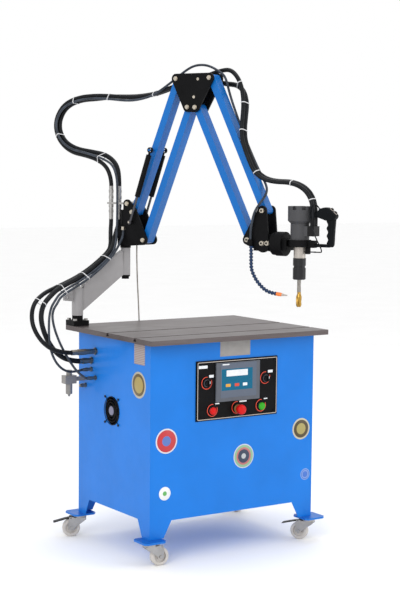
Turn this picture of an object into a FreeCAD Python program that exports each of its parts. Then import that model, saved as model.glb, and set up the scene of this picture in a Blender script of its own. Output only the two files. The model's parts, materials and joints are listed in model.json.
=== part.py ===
"""Arm tapping machine: a bench on casters with a swing arm, a two-stage parallelogram arm and a tapping head.

Millimetres and degrees. X runs along the front to the right, Y to the back, Z up. The origin lies on the floor
under the middle of the cabinet. Pieces of the jointed arm are drawn in the arm's own plane, with x as the reach
from the second pivot, y across the plates and z above the arm's floor, and are then turned into place."""
import FreeCAD, Part
import math
import os
import re

import Sketcher

Vector = FreeCAD.Vector

# Driving sizes, each written once.
SIZES = {
    # fits that all pieces share
    "running_gap": 0.05,
    "face_gap": 0.3,
    "cut_overrun": 2,
    # table
    "table_length": 870,
    "table_width": 692,
    "table_height": 900,
    "table_thickness": 20,
    "table_corner": 6,
    "table_bolt_diameter": 10,
    "table_bolt_head": 16,
    "table_bolt_head_height": 6,
    "table_bolt_depth": 12,
    "slot_neck_width": 12,
    "slot_neck_depth": 8,
    "slot_tee_width": 20,
    "slot_tee_depth": 6,
    "rear_slot_setback": 10,
    "front_slot_setback": 222,
    # cabinet
    "cabinet_width": 803,
    "cabinet_depth": 574,
    "sheet_thickness": 3,
    "skirt_height": 173,
    "top_rim_width": 25,
    "leg_top_width": 102,
    "leg_foot_width": 66,
    "leg_top_depth": 91,
    "leg_foot_depth": 58,
    "tray_height": 30,
    "door_margin": 70,
    "door_overlap": 15,
    "louvre_length": 160,
    "louvre_width": 6,
    "louvre_pitch": 18,
    "door_screw_diameter": 10,
    "door_screw_height": 4,
    "lead_gland_diameter": 16,
    "lead_gland_length": 8,
    "lead_gland_shift": -48,
    "lead_gland_height": 703,
    # casters
    "leg_plate_side": 101,
    "leg_plate_thickness": 8,
    "leg_plate_corner": 12,
    "leg_plate_inset": 6,
    "caster_height": 97,
    "head_plate_length": 84,
    "head_plate_width": 72,
    "head_plate_thickness": 3,
    "race_diameter": 50,
    "race_height": 12,
    "king_pin_diameter": 10,
    "king_rivet_diameter": 16,
    "king_rivet_thickness": 3,
    "crown_length": 46,
    "crown_thickness": 4.7,
    "cheek_gap": 32,
    "cheek_thickness": 3,
    "trail": 40,
    "wheel_diameter": 75,
    "tread_width": 25,
    "tread_round": 4,
    "rim_diameter": 48,
    "web_width": 12,
    "wheel_hub_diameter": 24,
    "axle_diameter": 8,
    "axle_head_diameter": 14,
    "axle_head_thickness": 4,
    "pedal_width": 28,
    "pedal_thickness": 4,
    "pedal_pin_diameter": 5,
    "pedal_barrel_diameter": 9,
    "pedal_reach": 115,
    "pedal_pin_reach": 42,
    "pedal_pin_height": 81,
    "pedal_knee_height": 77,
    "pedal_tip_height": 64,
    "front_left_trail_angle": -8,
    "front_right_trail_angle": 126,
    "rear_left_trail_angle": 156,
    "rear_right_trail_angle": 20,
    # control panel
    "panel_width": 401,
    "panel_height": 242,
    "panel_thickness": 4,
    "panel_shift": 9.6,
    "panel_middle_height": 679,
    "panel_lip": 12,
    "panel_screw_diameter": 12,
    "panel_screw_height": 3,
    "panel_screw_inset": 14,
    "bezel_width": 215,
    "bezel_height": 158,
    "bezel_depth": 6,
    "bezel_middle_height": 709,
    "screen_width": 160,
    "screen_height": 107,
    "screen_thickness": 2,
    "screen_lift": 10,
    "screen_case_depth": 38,
    "screen_case_margin": 12,
    "knob_row_height": 709.5,
    "button_row_drop": 34,
    "left_knob_shift": -139,
    "right_knob_shift": 153,
    "red_button_shift": -111,
    "stop_button_shift": 10,
    "green_button_shift": 131,
    "collar_diameter": 30,
    "collar_height": 3,
    "barrel_diameter": 22,
    "switch_side": 34,
    "switch_depth": 40,
    "stem_diameter": 10,
    "stem_length": 22,
    "knob_diameter": 24,
    "knob_height": 12,
    "knob_bar_width": 8,
    "knob_bar_height": 20,
    "button_travel": 4,
    "red_head_diameter": 34,
    "green_head_diameter": 31,
    "button_head_height": 10,
    "stop_head_diameter": 41,
    "stop_head_height": 18,
    "stop_neck_diameter": 24,
    "stop_neck_length": 18,
    # plates and labels
    "label_thickness": 1,
    "name_plate_width": 148,
    "name_plate_height": 60,
    "name_plate_middle": 842,
    "side_label_width": 143,
    "side_label_height": 80,
    "side_label_setback": -204,
    "side_label_middle": 832,
    "oval_diameter": 106,
    "oval_setback": -199,
    "oval_middle": 710,
    "wide_disc_diameter": 100,
    "narrow_disc_diameter": 50,
    # fan
    "fan_setback": 8,
    "fan_middle": 578,
    "fan_opening": 118,
    "fan_frame_side": 120,
    "fan_frame_depth": 25,
    "fan_screw_spacing": 105,
    "fan_screw_diameter": 5,
    "fan_wire_diameter": 2.4,
    "fan_hub_diameter": 42,
    "fan_hub_depth": 14,
    "fan_blade_thickness": 2,
    "fan_blade_depth": 10,
    "fan_blade_angle": 32,
    "fan_tip_gap": 2,
    "fan_pin_diameter": 4,
    "fan_strut_width": 7,
    # fittings on the left wall
    "fitting_hex": 26,
    "fitting_body": 22,
    "small_fitting_hex": 17,
    "small_fitting_body": 13,
    "fitting_flange": 8,
    "pressure_fitting_length": 115,
    "return_fitting_length": 62,
    "air_fitting_length": 47,
    "coolant_fitting_length": 47,
    "brass_fitting_length": 30,
    "filter_setback": 243,
    "filter_middle": 683,
    "filter_reach": 97,
    "filter_head_length": 52,
    "filter_head_width": 36,
    "filter_head_height": 34,
    "filter_bowl_diameter": 28,
    "filter_bowl_height": 44,
    "filter_knob_diameter": 24,
    "filter_knob_height": 22,
    "filter_arm_width": 14,
    # hydraulic unit and electrics
    "tank_length": 420,
    "tank_depth": 300,
    "tank_height": 170,
    "tank_wall": 4,
    "lid_thickness": 6,
    "motor_diameter": 150,
    "motor_length": 230,
    "pump_diameter": 96,
    "pump_length": 90,
    "valve_side": 70,
    "valve_height": 90,
    "unit_shift": -60,
    "box_length": 180,
    "box_depth": 120,
    "box_height": 260,
    # post
    "post_shift": -397,
    "post_setback": 309,
    "flange_side": 72,
    "flange_thickness": 22,
    "hub_diameter": 46,
    "hub_height": 20,
    "post_diameter": 28,
    "post_stud_diameter": 12,
    "post_stud_length": 20,
    "post_bolt_spacing": 52,
    "post_bolt_diameter": 10,
    "post_bolt_head": 16,
    "post_bolt_head_height": 8,
    "cap_diameter": 44,
    "cap_thickness": 6.5,
    "cap_nut_across": 19,
    "cap_nut_height": 10,
    "lift_gap": 0.5,
    # swing arm
    "swing_angle": 4,
    "swing_length": 245,
    "lower_barrel_diameter": 48,
    "lower_barrel_length": 114.7,
    "upper_barrel_diameter": 42,
    "upper_barrel_length": 117,
    "barrel_rise": 162.7,
    "swing_web_thickness": 22,
    "lug_thickness": 12,
    "lug_hole_diameter": 9,
    # arm base
    "arm_angle": -66,
    "arm_shaft_diameter": 24,
    "thrust_disc_diameter": 46,
    "thrust_disc_height": 9.7,
    "base_washer_diameter": 40,
    "base_washer_thickness": 6.7,
    "base_nut_across": 30,
    "base_nut_height": 10,
    "housing_diameter": 46,
    "housing_height": 153,
    "block_length": 60,
    "block_back": 20,
    "block_height": 88,
    "plate_gap": 62,
    "plate_thickness": 9,
    "base_pivot_reach": 59,
    "base_pivot_rise": 145,
    "base_link_offset": 131,
    "base_link_angle": -63.96,
    "ear_reach": 33.5,
    "ear_rise": 180,
    "ear_round": 18,
    "plate_foot_reach": 28,
    "plate_foot_rise": 16,
    "upper_pivot_round": 23,
    "lower_pivot_round": 21,
    "pivot_diameter": 12,
    "pivot_head_across": 15,
    "pivot_washer_diameter": 19,
    "pivot_washer_thickness": 1.5,
    "pivot_head_height": 4.5,
    # couplers
    "left_coupler_reach": -77,
    "right_coupler_reach": -36,
    "coupler_rise": 111,
    "coupler_length": 143,
    "left_coupler_diameter": 19,
    "right_coupler_diameter": 22,
    "clip_width": 22,
    "clip_thickness": 8,
    "clip_end": 14,
    "clip_boss_diameter": 18,
    "sensor_gland_side": 12,
    "sensor_gland_length": 14,
    "sensor_gland_reach": 20,
    "sensor_gland_rise": 68,
    # links
    "lower_link_length": 598,
    "lower_link_angle": 68.6,
    "upper_link_length": 595,
    "upper_link_angle": -64.4,
    "tube_depth": 30,
    "tube_width": 50,
    "tube_wall": 2.5,
    "end_block_length": 24,
    "spigot_length": 25,
    "link_boss_diameter": 24,
    # gas springs
    "gas_spacing": 106,
    "gas_foot_reach": 60,
    "gas_foot_rise": 102,
    "gas_eye_along_link": 281,
    "gas_rod_diameter": 10,
    "gas_rod_length": 225,
    "gas_cylinder_diameter": 22,
    "gas_cylinder_start": 115,
    "gas_cylinder_end_gap": 22,
    "gas_bore_length": 135,
    "gas_eye_diameter": 18,
    "gas_eye_width": 12,
    "gas_stud_diameter": 8,
    "gas_stud_reach": 12,
    "gas_top_slack": 4,
    "gas_top_eye_diameter": 24,
    # elbow
    "elbow_width": 162.5,
    "elbow_round": 20,
    "elbow_link_offset": 137,
    "elbow_link_angle": -119.6,
    "spacer_diameter": 16,
    "low_spacer_reach": 89,
    "low_spacer_drop": 77,
    "high_spacer_reach": 108,
    "high_spacer_drop": 4,
    # head bracket
    "head_round": 20,
    "knuckle_round": 27,
    "knuckle_reach": 6.2,
    "knuckle_drop": 141.2,
    "knuckle_back": 48,
    "knuckle_front": 32,
    "knuckle_bottom": 21,
    "knuckle_top": 44,
    "tilt_rise": 9,
    "fixed_disc_diameter": 92,
    "fixed_disc_length": 15,
    "tilt_pin_diameter": 30,
    "tilt_pin_length": 25,
    "first_screw_reach": -5,
    "first_screw_rise": 10,
    "second_screw_reach": 19,
    "second_screw_rise": 11,
    "head_screw_diameter": 10,
    # tapping head
    "tool_reach": 153.2,
    "tilt_disc_diameter": 98,
    "tilt_disc_length": 37.7,
    "neck_length": 20,
    "neck_width": 70,
    "neck_bottom": 25,
    "neck_top": 19,
    "ring_diameter": 92,
    "ring_bottom": 9,
    "ring_top": 19,
    "body_diameter": 76,
    "body_height": 64,
    "motor_cap_diameter": 98,
    "motor_cap_height": 70,
    "motor_cap_chamfer": 12,
    "notch_width": 16,
    "notch_depth": 14,
    "notch_count": 8,
    "notch_floor_diameter": 70,
    "port_reach": 75,
    "port_width": 48,
    "port_bottom": 35,
    "port_top": 75,
    "ferrule_reach": 62,
    "ferrule_spacing": 21,
    "ferrule_diameter": 20.5,
    "ferrule_height": 30,
    "spindle_diameter": 48,
    "spindle_length": 44.7,
    "spindle_shaft_diameter": 20,
    "spindle_shaft_length": 48,
    "chuck_diameter": 52,
    "chuck_length": 86,
    "chuck_groove_diameter": 46,
    "chuck_socket_depth": 40,
    "shank_diameter": 16,
    "shank_showing": 66,
    "tap_diameter": 23,
    "tap_length": 44,
    "tap_tip_length": 8,
    "tap_tip_diameter": 12,
    "flute_diameter": 10,
    # handle
    "handle_block_reach": 72,
    "handle_block_width": 28,
    "handle_block_bottom": 11,
    "handle_block_top": 18,
    "handle_bar_height": 13,
    "handle_bar_rise": -8,
    "handle_bar_width": 20,
    "grip_start": 125,
    "grip_length": 34,
    "grip_width": 30,
    "grip_bottom": -7,
    "grip_top": 101,
    "finger_diameter": 26,
    "finger_depth": 4,
    "grip_head_width": 34,
    "thumb_face_start": 130,
    "thumb_face_length": 47,
    "thumb_face_tilt": 40.4,
    "thumb_button_diameter": 12,
    "thumb_button_height": 5,
    "thumb_travel": 3,
    "thumb_stem_diameter": 6,
    "thumb_stem_length": 14,
    "near_thumb_share": 0.3,
    "far_thumb_share": 0.72,
    "grip_head_top": 150,
    "lead_gland_diameter": 10,
    "lead_gland_length": 11,
    "lead_gland_tilt": 35.8,
    "lead_gland_reach": 92.7,
    "lead_gland_rise": 135.3,
    "lever_diameter": 5,
    "lever_length": 33,
    "lever_drop": 19,
    "lever_block_side": 18,
    "lever_block_height": 28,
    # coolant line
    "valve_length": 22,
    "valve_width": 18,
    "coolant_valve_height": 26,
    "coolant_valve_back": 45.8,
    "coolant_valve_drop": 142.2,
    "valve_tap_diameter": 9,
    "valve_tap_length": 14,
    "jointed_hose_diameter": 15,
    "jointed_hose_bore": 8,
    "jointed_hose_waist": 11.5,
    "nozzle_length": 45,
    "nozzle_tip_diameter": 7,
    # hoses
    "pressure_hose_diameter": 18,
    "return_hose_diameter": 21,
    "thin_hose_diameter": 10,
    "earth_lead_diameter": 6,
    "button_lead_diameter": 4,
}

# Places that follow from the sizes.
PLACES = {
    "cabinet_top": "table_height - table_thickness",
    "leg_foot_height": "caster_height + leg_plate_thickness",
    "caster_x": "cabinet_width / 2 - leg_plate_inset",
    "caster_y": "cabinet_depth / 2 - leg_plate_inset",
    "race_bottom": "caster_height - head_plate_thickness - race_height",
    "crown_bottom": "race_bottom - face_gap - crown_thickness",
    "front_face": "-cabinet_depth / 2",
    "panel_face": "front_face - panel_thickness",
    "button_row_height": "bezel_middle_height - bezel_height / 2 - button_row_drop",
    "left_face": "-cabinet_width / 2",
    "unit_floor": "skirt_height + sheet_thickness",
    "fan_inside": "left_face + sheet_thickness",
    "fan_back": "fan_inside + fan_frame_depth",
    "rotor_start": "fan_back - sheet_thickness - face_gap - fan_hub_depth",
    "rotor_bore_start": "rotor_start + fan_hub_depth / 3",
    "tank_top": "unit_floor + tank_height",
    "lid_top": "tank_top + lid_thickness",
    "flange_top": "table_height + flange_thickness",
    "hub_top": "flange_top + hub_height",
    "swing_bottom": "hub_top + face_gap",
    "lower_barrel_top": "swing_bottom + lower_barrel_length",
    "post_shoulder": "lower_barrel_top + lift_gap",
    "upper_barrel_bottom": "swing_bottom + barrel_rise",
    "upper_barrel_top": "upper_barrel_bottom + upper_barrel_length",
    "arm_x": "post_shift + swing_length * cos(swing_angle)",
    "arm_y": "post_setback + swing_length * sin(swing_angle)",
    "arm_floor": "upper_barrel_top + face_gap + thrust_disc_height",
    "plate_face": "plate_gap / 2",
    "plate_outside": "plate_gap / 2 + plate_thickness",
    "lower_base_x": "base_pivot_reach + base_link_offset * cos(base_link_angle)",
    "lower_base_z": "base_pivot_rise + base_link_offset * sin(base_link_angle)",
    "elbow_x": "base_pivot_reach + lower_link_length * cos(lower_link_angle)",
    "elbow_z": "base_pivot_rise + lower_link_length * sin(lower_link_angle)",
    "low_elbow_x": "lower_base_x + lower_link_length * cos(lower_link_angle)",
    "low_elbow_z": "lower_base_z + lower_link_length * sin(lower_link_angle)",
    "far_elbow_x": "elbow_x + elbow_width",
    "far_low_x": "far_elbow_x + elbow_link_offset * cos(elbow_link_angle)",
    "far_low_z": "elbow_z + elbow_link_offset * sin(elbow_link_angle)",
    "head_x": "far_elbow_x + upper_link_length * cos(upper_link_angle)",
    "head_z": "elbow_z + upper_link_length * sin(upper_link_angle)",
    "low_head_x": "far_low_x + upper_link_length * cos(upper_link_angle)",
    "low_head_z": "far_low_z + upper_link_length * sin(upper_link_angle)",
    "knuckle_x": "head_x + knuckle_reach",
    "knuckle_z": "head_z - knuckle_drop",
    "tilt_z": "knuckle_z + tilt_rise",
    "fixed_disc_x": "knuckle_x + knuckle_front",
    "fixed_face_x": "fixed_disc_x + fixed_disc_length",
    "tool_x": "head_x + tool_reach",
    "tilt_disc_start": "fixed_face_x + face_gap - tool_x",
    "tilt_disc_end": "tilt_disc_start + tilt_disc_length",
    "gas_top_x": "base_pivot_reach + gas_eye_along_link * cos(lower_link_angle)",
    "gas_top_z": "base_pivot_rise + gas_eye_along_link * sin(lower_link_angle)",
    "gas_run_x": "gas_top_x - gas_foot_reach",
    "gas_run_z": "gas_top_z - gas_foot_rise",
    "gas_length": "sqrt(gas_run_x * gas_run_x + gas_run_z * gas_run_z)",
    "gas_angle": "atan2(gas_run_z; gas_run_x)",
    "gas_cylinder_end": "gas_length - gas_cylinder_end_gap",
    "spindle_bottom": "-ring_bottom - face_gap - spindle_length",
    "chuck_bottom": "spindle_bottom - chuck_length",
    "shank_bottom": "chuck_bottom - shank_showing",
    "thumb_face_end": "thumb_face_start + thumb_face_length * cos(thumb_face_tilt)",
    "thumb_face_foot": "grip_head_top - thumb_face_length * sin(thumb_face_tilt)",
    "motor_bottom": "ring_top",
    "cap_bottom": "motor_bottom + body_height",
    "cap_top": "cap_bottom + motor_cap_height",
}

# Hose routes. The first two groups stand in the room's frame. The others are measured from named places of the
# arm, so that they follow its links.
PRESSURE_TO_ARM = [(-516.5, 142, 808), (-562, 142, 811), (-626, 146, 837), (-668, 158, 888), (-680, 182, 945),
                   (-655, 215, 1006), (-592, 252, 1044), (-508, 289, 1066), (-388, 320, 1104), (-300, 326, 1156),
                   (-257, 329, 1190)]
RETURN_TO_ARM = [(-463.5, 175, 766), (-512, 176, 772), (-562, 178, 800), (-600, 182, 848), (-624, 188, 905),
                 (-630, 196, 958), (-610, 212, 1004), (-562, 236, 1038), (-508, 268, 1064), (-388, 299, 1104),
                 (-300, 305, 1156), (-257, 308, 1190)]
COOLANT_TO_ARM = [(-448.5, 175, 729), (-490, 172, 722), (-536, 168, 732), (-574, 163, 764), (-598, 161, 808),
                  (-607, 165, 856), (-605, 172, 908), (-597, 184, 956), (-580, 200, 992), (-550, 222, 1017),
                  (-508, 254, 1046), (-388, 282, 1094), (-303, 286, 1146), (-262, 289, 1180)]
SENSOR_TO_ARM = [(-448.5, 141, 697), (-476, 143, 714), (-506, 151, 752), (-534, 160, 800), (-560, 164, 850),
                 (-580, 170, 905), (-586, 180, 955), (-572, 194, 985), (-545, 214, 1004), (-508, 246, 1034),
                 (-388, 271, 1084), (-308, 275, 1136), (-268, 278, 1170)]
EARTH_LEAD = [(-95.5, 326, 1168), (-93, 329, 1140), (-84, 338, 1060), (-72, 350, 989), (-60, 364, 920),
              (-51, 374, 862), (-48, 377, 806), (-48, 371, 757), (-48, 350, 718), (-48, 322, 703),
              (-48, 301, 703)]
PRESSURE_TO_COUPLER = [(-257, 329, 1190), (-232, 330.7, 1209.8), (-217, 343, 1238), (-206, 363, 1270),
                       (-193, 385, 1301), (-183.9, 396.5, 1324),
                       (-183.9, 396.5, 1343)]
RETURN_TO_COUPLER = [(-257, 308, 1190), (-232, 309.7, 1209.8), (-214, 322, 1238), (-198, 340, 1268),
                     (-180, 353, 1299), (-167.2, 359, 1322), (-167.2, 359, 1343)]
COOLANT_PAST_COUPLER = [(-262, 289, 1180), (-240, 291.1, 1198.2), (-222, 299, 1224), (-207, 311, 1258),
                        (-199, 322, 1302), (-195, 326, 1352), (-195, 326, 1416)]
SENSOR_TO_BASE = [(-268, 278, 1170), (-247, 279.9, 1188), (-227, 281, 1213), (-209, 284, 1239),
                  (-193, 287, 1264), (-186.7, 289, 1284), (-186.5, 289.1, 1300)]
EARTH_TO_BASE = [(-95.5, 326, 1168), (-98, 323, 1196), (-100, 319, 1232)]
PRESSURE_LOWER = [("base", [(-77, 0, 254), (-77.4, 0, 274), (-87, -2, 312), (-110, 0, 342), (-160, 8, 368), (-225, 16, 384),
        (-311, 26, 398)]),
    ("elbow", [(-657.2, 35, -261.8), (-690.2, 40, -203.8), (-688.2, 45, -145.8), (-646.2, 48, -88.8),
        (-569.2, 50, -61.8), (-483.2, 52, -55.8), (-404.2, 54, -58.8), (-312.2, 58, -66.8), (-249.2, 60,
        -65.8), (-169.2, 60, -55.8), (-85.2, 60, -26.8), (-15.2, 60, -12.8)])]
RETURN_LOWER = [("base", [(-36, 0, 254), (-36.4, 0, 276), (-45, 6, 322), (-70, 14, 358), (-125, 25, 388), (-205, 37, 400),
        (-302, 47, 413)]),
    ("elbow", [(-651.2, 56, -255.8), (-685.2, 61, -202.8), (-683.2, 66, -146.8), (-643.2, 69, -95.8),
        (-567.2, 71, -71.8), (-483.2, 73, -68.8), (-404.2, 75, -60.8), (-312.2, 79, -63.8), (-249.2, 81,
        -61.8), (-169.2, 81, -51.8), (-85.2, 81, -26.8), (-15.2, 81, -12.8)])]
COOLANT_LOWER = [("base", [(-17.3, -38.8, 184), (-18, -37, 240), (-28, -30, 300), (-56, -22, 346), (-105,
        -15, 368), (-160, -7, 383), (-225, 1, 398), (-306, 11, 412)]),
    ("elbow", [(-647.2, 20, -251.8), (-677.2, 25, -199.8), (-675.2, 30, -149.8), (-637.2, 34, -99.8),
        (-565.2, 36, -74.8), (-483.2, 38, -67.8), (-404.2, 40, -71.8), (-312.2, 44, -81.8), (-249.2, 46,
        -79.8), (-169.2, 47, -61.8), (-97.2, 48, -19.8), (-45.2, 48, 14.2)])]
PRESSURE_ELBOW = [("elbow", [(-15.2, 60, -12.8), (38.8, 60, -2), (82.8, 61, 12.2), (120.8, 60, 25.2),
        (150.8, 57.5, 31.2)])]
RETURN_ELBOW = [("elbow", [(-15.2, 81, -12.8), (38.8, 81, -2), (82.8, 82, -1.8), (124.8, 81, -8.8), (152.8,
        78.5, -14.8)])]
COOLANT_ELBOW = [("elbow", [(-45.2, 48, 14.2), (-7.2, 47.5, 39.2), (34.8, 45, 57.2), (80.8, 42, 60.2),
        (122.8, 38, 51.2), (146.8, 35, 39.2)])]
PRESSURE_UPPER = [("elbow", [(150.8, 57.5, 31.2), (175.8, 55.4, 36.2), (208.8, 49, 35.2), (237.8, 42, 18.2),
        (263.8, 34, -11.8), (282.8, 26, -51.8), (294.8, 16, -101.8)]),
    ("head", [(-119.8, 2, 382.8), (-113.8, -17, 324.8), (-96.8, -34, 268.8), (-68.8, -40, 215.8)])]
RETURN_UPPER = [("elbow", [(152.8, 78.5, -14.8), (177.8, 76.3, -20.2), (210.8, 70, -22.8), (242.8, 61,
        -29.8), (269.8, 53, -48.8), (286.8, 45, -75.8), (296.8, 38, -109.8)]),
    ("head", [(-118.8, 24, 382.8), (-112.8, 4, 324.8), (-96.8, -13, 268.8), (-68.8, -19, 215.8)])]
COOLANT_UPPER = [("elbow", [(146.8, 35, 39.2), (168.8, 32.3, 28.2), (190.8, 33, 12.2), (203.8, 33, -13.8),
        (213.8, 33, -49.8), (231.8, 33, -99.8), (260.8, 33, -168.8)]),
    ("head", [(-115.8, 33, 272.8), (-67.8, 33, 178.8), (-30, 32, 117), (-5, 10, 88), (5, -18, 62),
        (-6, -44, 32), (-29.8, -52, -7.2), (-44, -50, -67.2), (-46, -49, -98), (-46, -49, -116.2)])]
PRESSURE_HEAD = [("head", [(-68.8, -40, 215.8), (-53.8, -43.2, 187.4), (-35.8, -43, 156.8), (-11.8, -38,
        134.8), (17.2, -31, 121.8), (56.2, -22, 115.3)]),
    ("tool", [(-50, -12, 247), (-4, -9, 235), (33, -10, 211), (56, -10.5, 175),
        (61.6, -10.5, 138), (62, -10.5, 105)])]
RETURN_HEAD = [("head", [(-68.8, -19, 215.8), (-53.8, -22.2, 187.4), (-35.8, -22, 156.8), (-11.8, -17,
        135.8), (17.2, -10, 122.8), (56.2, -1, 116.8)]),
    ("tool", [(-50, 9, 249), (-4, 12, 237), (33, 11.5, 212), (56, 10.5, 175),
        (61.6, 10.5, 138), (62, 10.5, 105)])]
NOZZLE_HOSE = [("head", [(-42.8, -49, -142.2), (-41.8, -49, -192.2), (-41.8, -48, -232.2), (-33.8, -46,
        -255.2), (-19.8, -44, -280.2), (-0.8, -41, -302.2), (21.2, -38, -320.2), (48.2, -35, -330.2), (71.2,
        -33, -332.2)])]
BUTTON_LEAD = [("tool", [(86.3, 0, 144.2), (80.4, 0, 152.3), (76, -8, 160), (69, -19, 163), (61, -26, 154),
        (57, -27, 134), (60, -31, 108), (67, -33, 80), (79, -31, 48),
        (92, -25, 16), (102, -17, -6), (104, -8, -26), (92, 0, -28), (70, 0, -28)])]
ROUTE_PLACES = {"base": ("0", "0"), "elbow": ("elbow_x", "elbow_z"), "head": ("head_x", "head_z"),
                "tool": ("tool_x", "tilt_z")}
RIB_COUNT = 19

document = FreeCAD.newDocument("arm_tapping_machine")
UP = Vector(0, 0, 1)
ACROSS = Vector(0, -1, 0)
WORD = re.compile(r"[a-z][a-z0-9_]*")


def fill_sheet():
    """Write every driving size to a row of the sheet and name its cell."""
    sheet = document.addObject("Spreadsheet::Sheet", "sizes")
    for row, (name, size) in enumerate(SIZES.items(), start=1):
        sheet.set(f"A{row}", name.replace("_", " "))
        sheet.set(f"B{row}", repr(float(size)))
        sheet.setAlias(f"B{row}", name)
    document.recompute()
    return sheet


def cells(words):
    """Point each named size or place in an expression at what holds it."""
    def owner(match):
        word = match.group()
        if word in SIZES:
            return "sizes." + word
        if word in PLACES:
            return "skeleton." + word
        return word
    return WORD.sub(owner, words)


def lay_out_places():
    """Keep the places as properties of one object, each bound to the sizes that it follows."""
    frame = document.addObject("App::FeaturePython", "skeleton")
    for name, words in PLACES.items():
        frame.addProperty("App::PropertyFloat", name, "Places")
        frame.setExpression(name, cells(words))
    document.recompute()
    return frame


sizes = fill_sheet()
skeleton = lay_out_places()


def number(words):
    """The present value of an expression in named sizes and places."""
    return float(sizes.evalExpression(cells(words)))


def bind(piece, **sockets):
    """Bind the properties of a piece; x, y and z are its place."""
    for socket, words in sockets.items():
        path = "Placement.Base." + socket if socket in ("x", "y", "z") else socket
        if words != "0":
            piece.setExpression(path, cells(words))
    return piece


def spin(piece, angle, about=UP):
    """Turn a piece about an axis through its own origin by a bound angle."""
    piece.Placement = FreeCAD.Placement(Vector(), FreeCAD.Rotation(about, 1))
    piece.setExpression("Placement.Rotation.Angle", cells(angle))
    return piece


def box(name, length, width, height, x="0", y="0", z="0"):
    """A block centred on x and y that stands on z."""
    piece = document.addObject("Part::Box", name)
    return bind(piece, Length=length, Width=width, Height=height,
                x=f"({x}) - ({length}) / 2", y=f"({y}) - ({width}) / 2", z=z)


LYING = {"x": FreeCAD.Rotation(Vector(0, 1, 0), 90), "y": FreeCAD.Rotation(Vector(1, 0, 0), -90),
         "z": FreeCAD.Rotation()}


def rod(name, diameter, length, x="0", y="0", z="0", along="z"):
    """A round bar that starts at x, y, z and runs along one axis."""
    piece = document.addObject("Part::Cylinder", name)
    piece.Placement = FreeCAD.Placement(Vector(), LYING[along])
    return bind(piece, Radius=f"({diameter}) / 2", Height=length, x=x, y=y, z=z)


def cone(name, lower, upper, length, x="0", y="0", z="0", along="z"):
    """A round bar that tapers from one diameter to another."""
    piece = document.addObject("Part::Cone", name)
    piece.Placement = FreeCAD.Placement(Vector(), LYING[along])
    return bind(piece, Radius1=f"({lower}) / 2", Radius2=f"({upper}) / 2", Height=length, x=x, y=y, z=z)


def hexagon(name, across, length, x="0", y="0", z="0", along="z"):
    """A hexagonal bar, named by its width across flats."""
    piece = document.addObject("Part::Prism", name)
    piece.Polygon = 6
    piece.Placement = FreeCAD.Placement(Vector(), LYING[along])
    return bind(piece, Circumradius=f"({across}) / sqrt(3)", Height=length, x=x, y=y, z=z)


def cut(name, base, *tools):
    """A piece with other shapes taken away from it."""
    for order, tool in enumerate(tools):
        piece = document.addObject("Part::Cut", name if order == len(tools) - 1 else f"{name}_cut")
        piece.Base = base
        piece.Tool = tool
        base = piece
    return base


def fuse(name, *parts):
    """One solid made of several shapes that run into each other."""
    piece = document.addObject("Part::MultiFuse", name)
    piece.Shapes = list(parts)
    piece.Refine = True
    return piece


def group(name, parts, x="0", y="0", z="0", angle="0", about=UP):
    """Separate solids that keep their places together."""
    whole = document.addObject("Part::Compound", name)
    whole.Links = list(parts)
    if angle != "0":
        spin(whole, angle, about)
    return bind(whole, x=x, y=y, z=z)


def outline_sketch(body, plane, outline):
    """A closed outline whose corners are bound to named sizes."""
    sketch = body.newObject("Sketcher::SketchObject", body.Name + "_outline")
    support = next(part for part in body.Origin.OriginFeatures if part.Role == plane)
    sketch.AttachmentSupport = [(support, "")]
    sketch.MapMode = "FlatFace"
    corners = [Vector(number(across), number(up), 0) for across, up in outline]
    count = len(corners)
    for index, corner in enumerate(corners):
        sketch.addGeometry(Part.LineSegment(corner, corners[(index + 1) % count]), False)
    for index in range(count):
        sketch.addConstraint(Sketcher.Constraint("Coincident", index, 2, (index + 1) % count, 1))
    for index, (across, up) in enumerate(outline):
        for kind, words, value in (("DistanceX", across, corners[index].x), ("DistanceY", up, corners[index].y)):
            place = sketch.addConstraint(Sketcher.Constraint(kind, -1, 1, index, 1, value))
            sketch.setExpression(f"Constraints[{place}]", cells(words))
    return sketch


def prism(name, outline, thickness, plane="XZ_Plane", x="0", y="0", z="0"):
    """A flat piece cut to an outline, half its thickness to each side of its plane."""
    body = document.addObject("PartDesign::Body", name)
    sketch = outline_sketch(body, plane, outline)
    pad = body.newObject("PartDesign::Pad", name + "_pad")
    pad.Profile = sketch
    pad.SideType = "Symmetric"
    pad.setExpression("Length", cells(thickness))
    return bind(body, x=x, y=y, z=z)


def turned(name, outline, x="0", y="0", z="0", along="z"):
    """A turned piece: radius and height pairs swept round its axis."""
    body = document.addObject("PartDesign::Body", name)
    sketch = outline_sketch(body, "XZ_Plane", outline)
    turn = body.newObject("PartDesign::Revolution", name + "_turn")
    turn.Profile = sketch
    axis = next(part for part in body.Origin.OriginFeatures if part.Role == "Z_Axis")
    turn.ReferenceAxis = (axis, [""])
    body.Placement = FreeCAD.Placement(Vector(), LYING[along])
    return bind(body, x=x, y=y, z=z)


def bolt(name, diameter, across, head, length, x="0", y="0", z="0", along="z"):
    """A hexagon bolt: the shank runs from its place along the axis and the head stands behind it."""
    behind = {"x": x, "y": y, "z": z}
    behind[along] = f"({behind[along]}) - ({head})"
    shank = rod(name + "_shank", diameter, length, x, y, z, along)
    top = hexagon(name + "_top", across, head, along=along, **behind)
    return fuse(name, shank, top)


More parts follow.
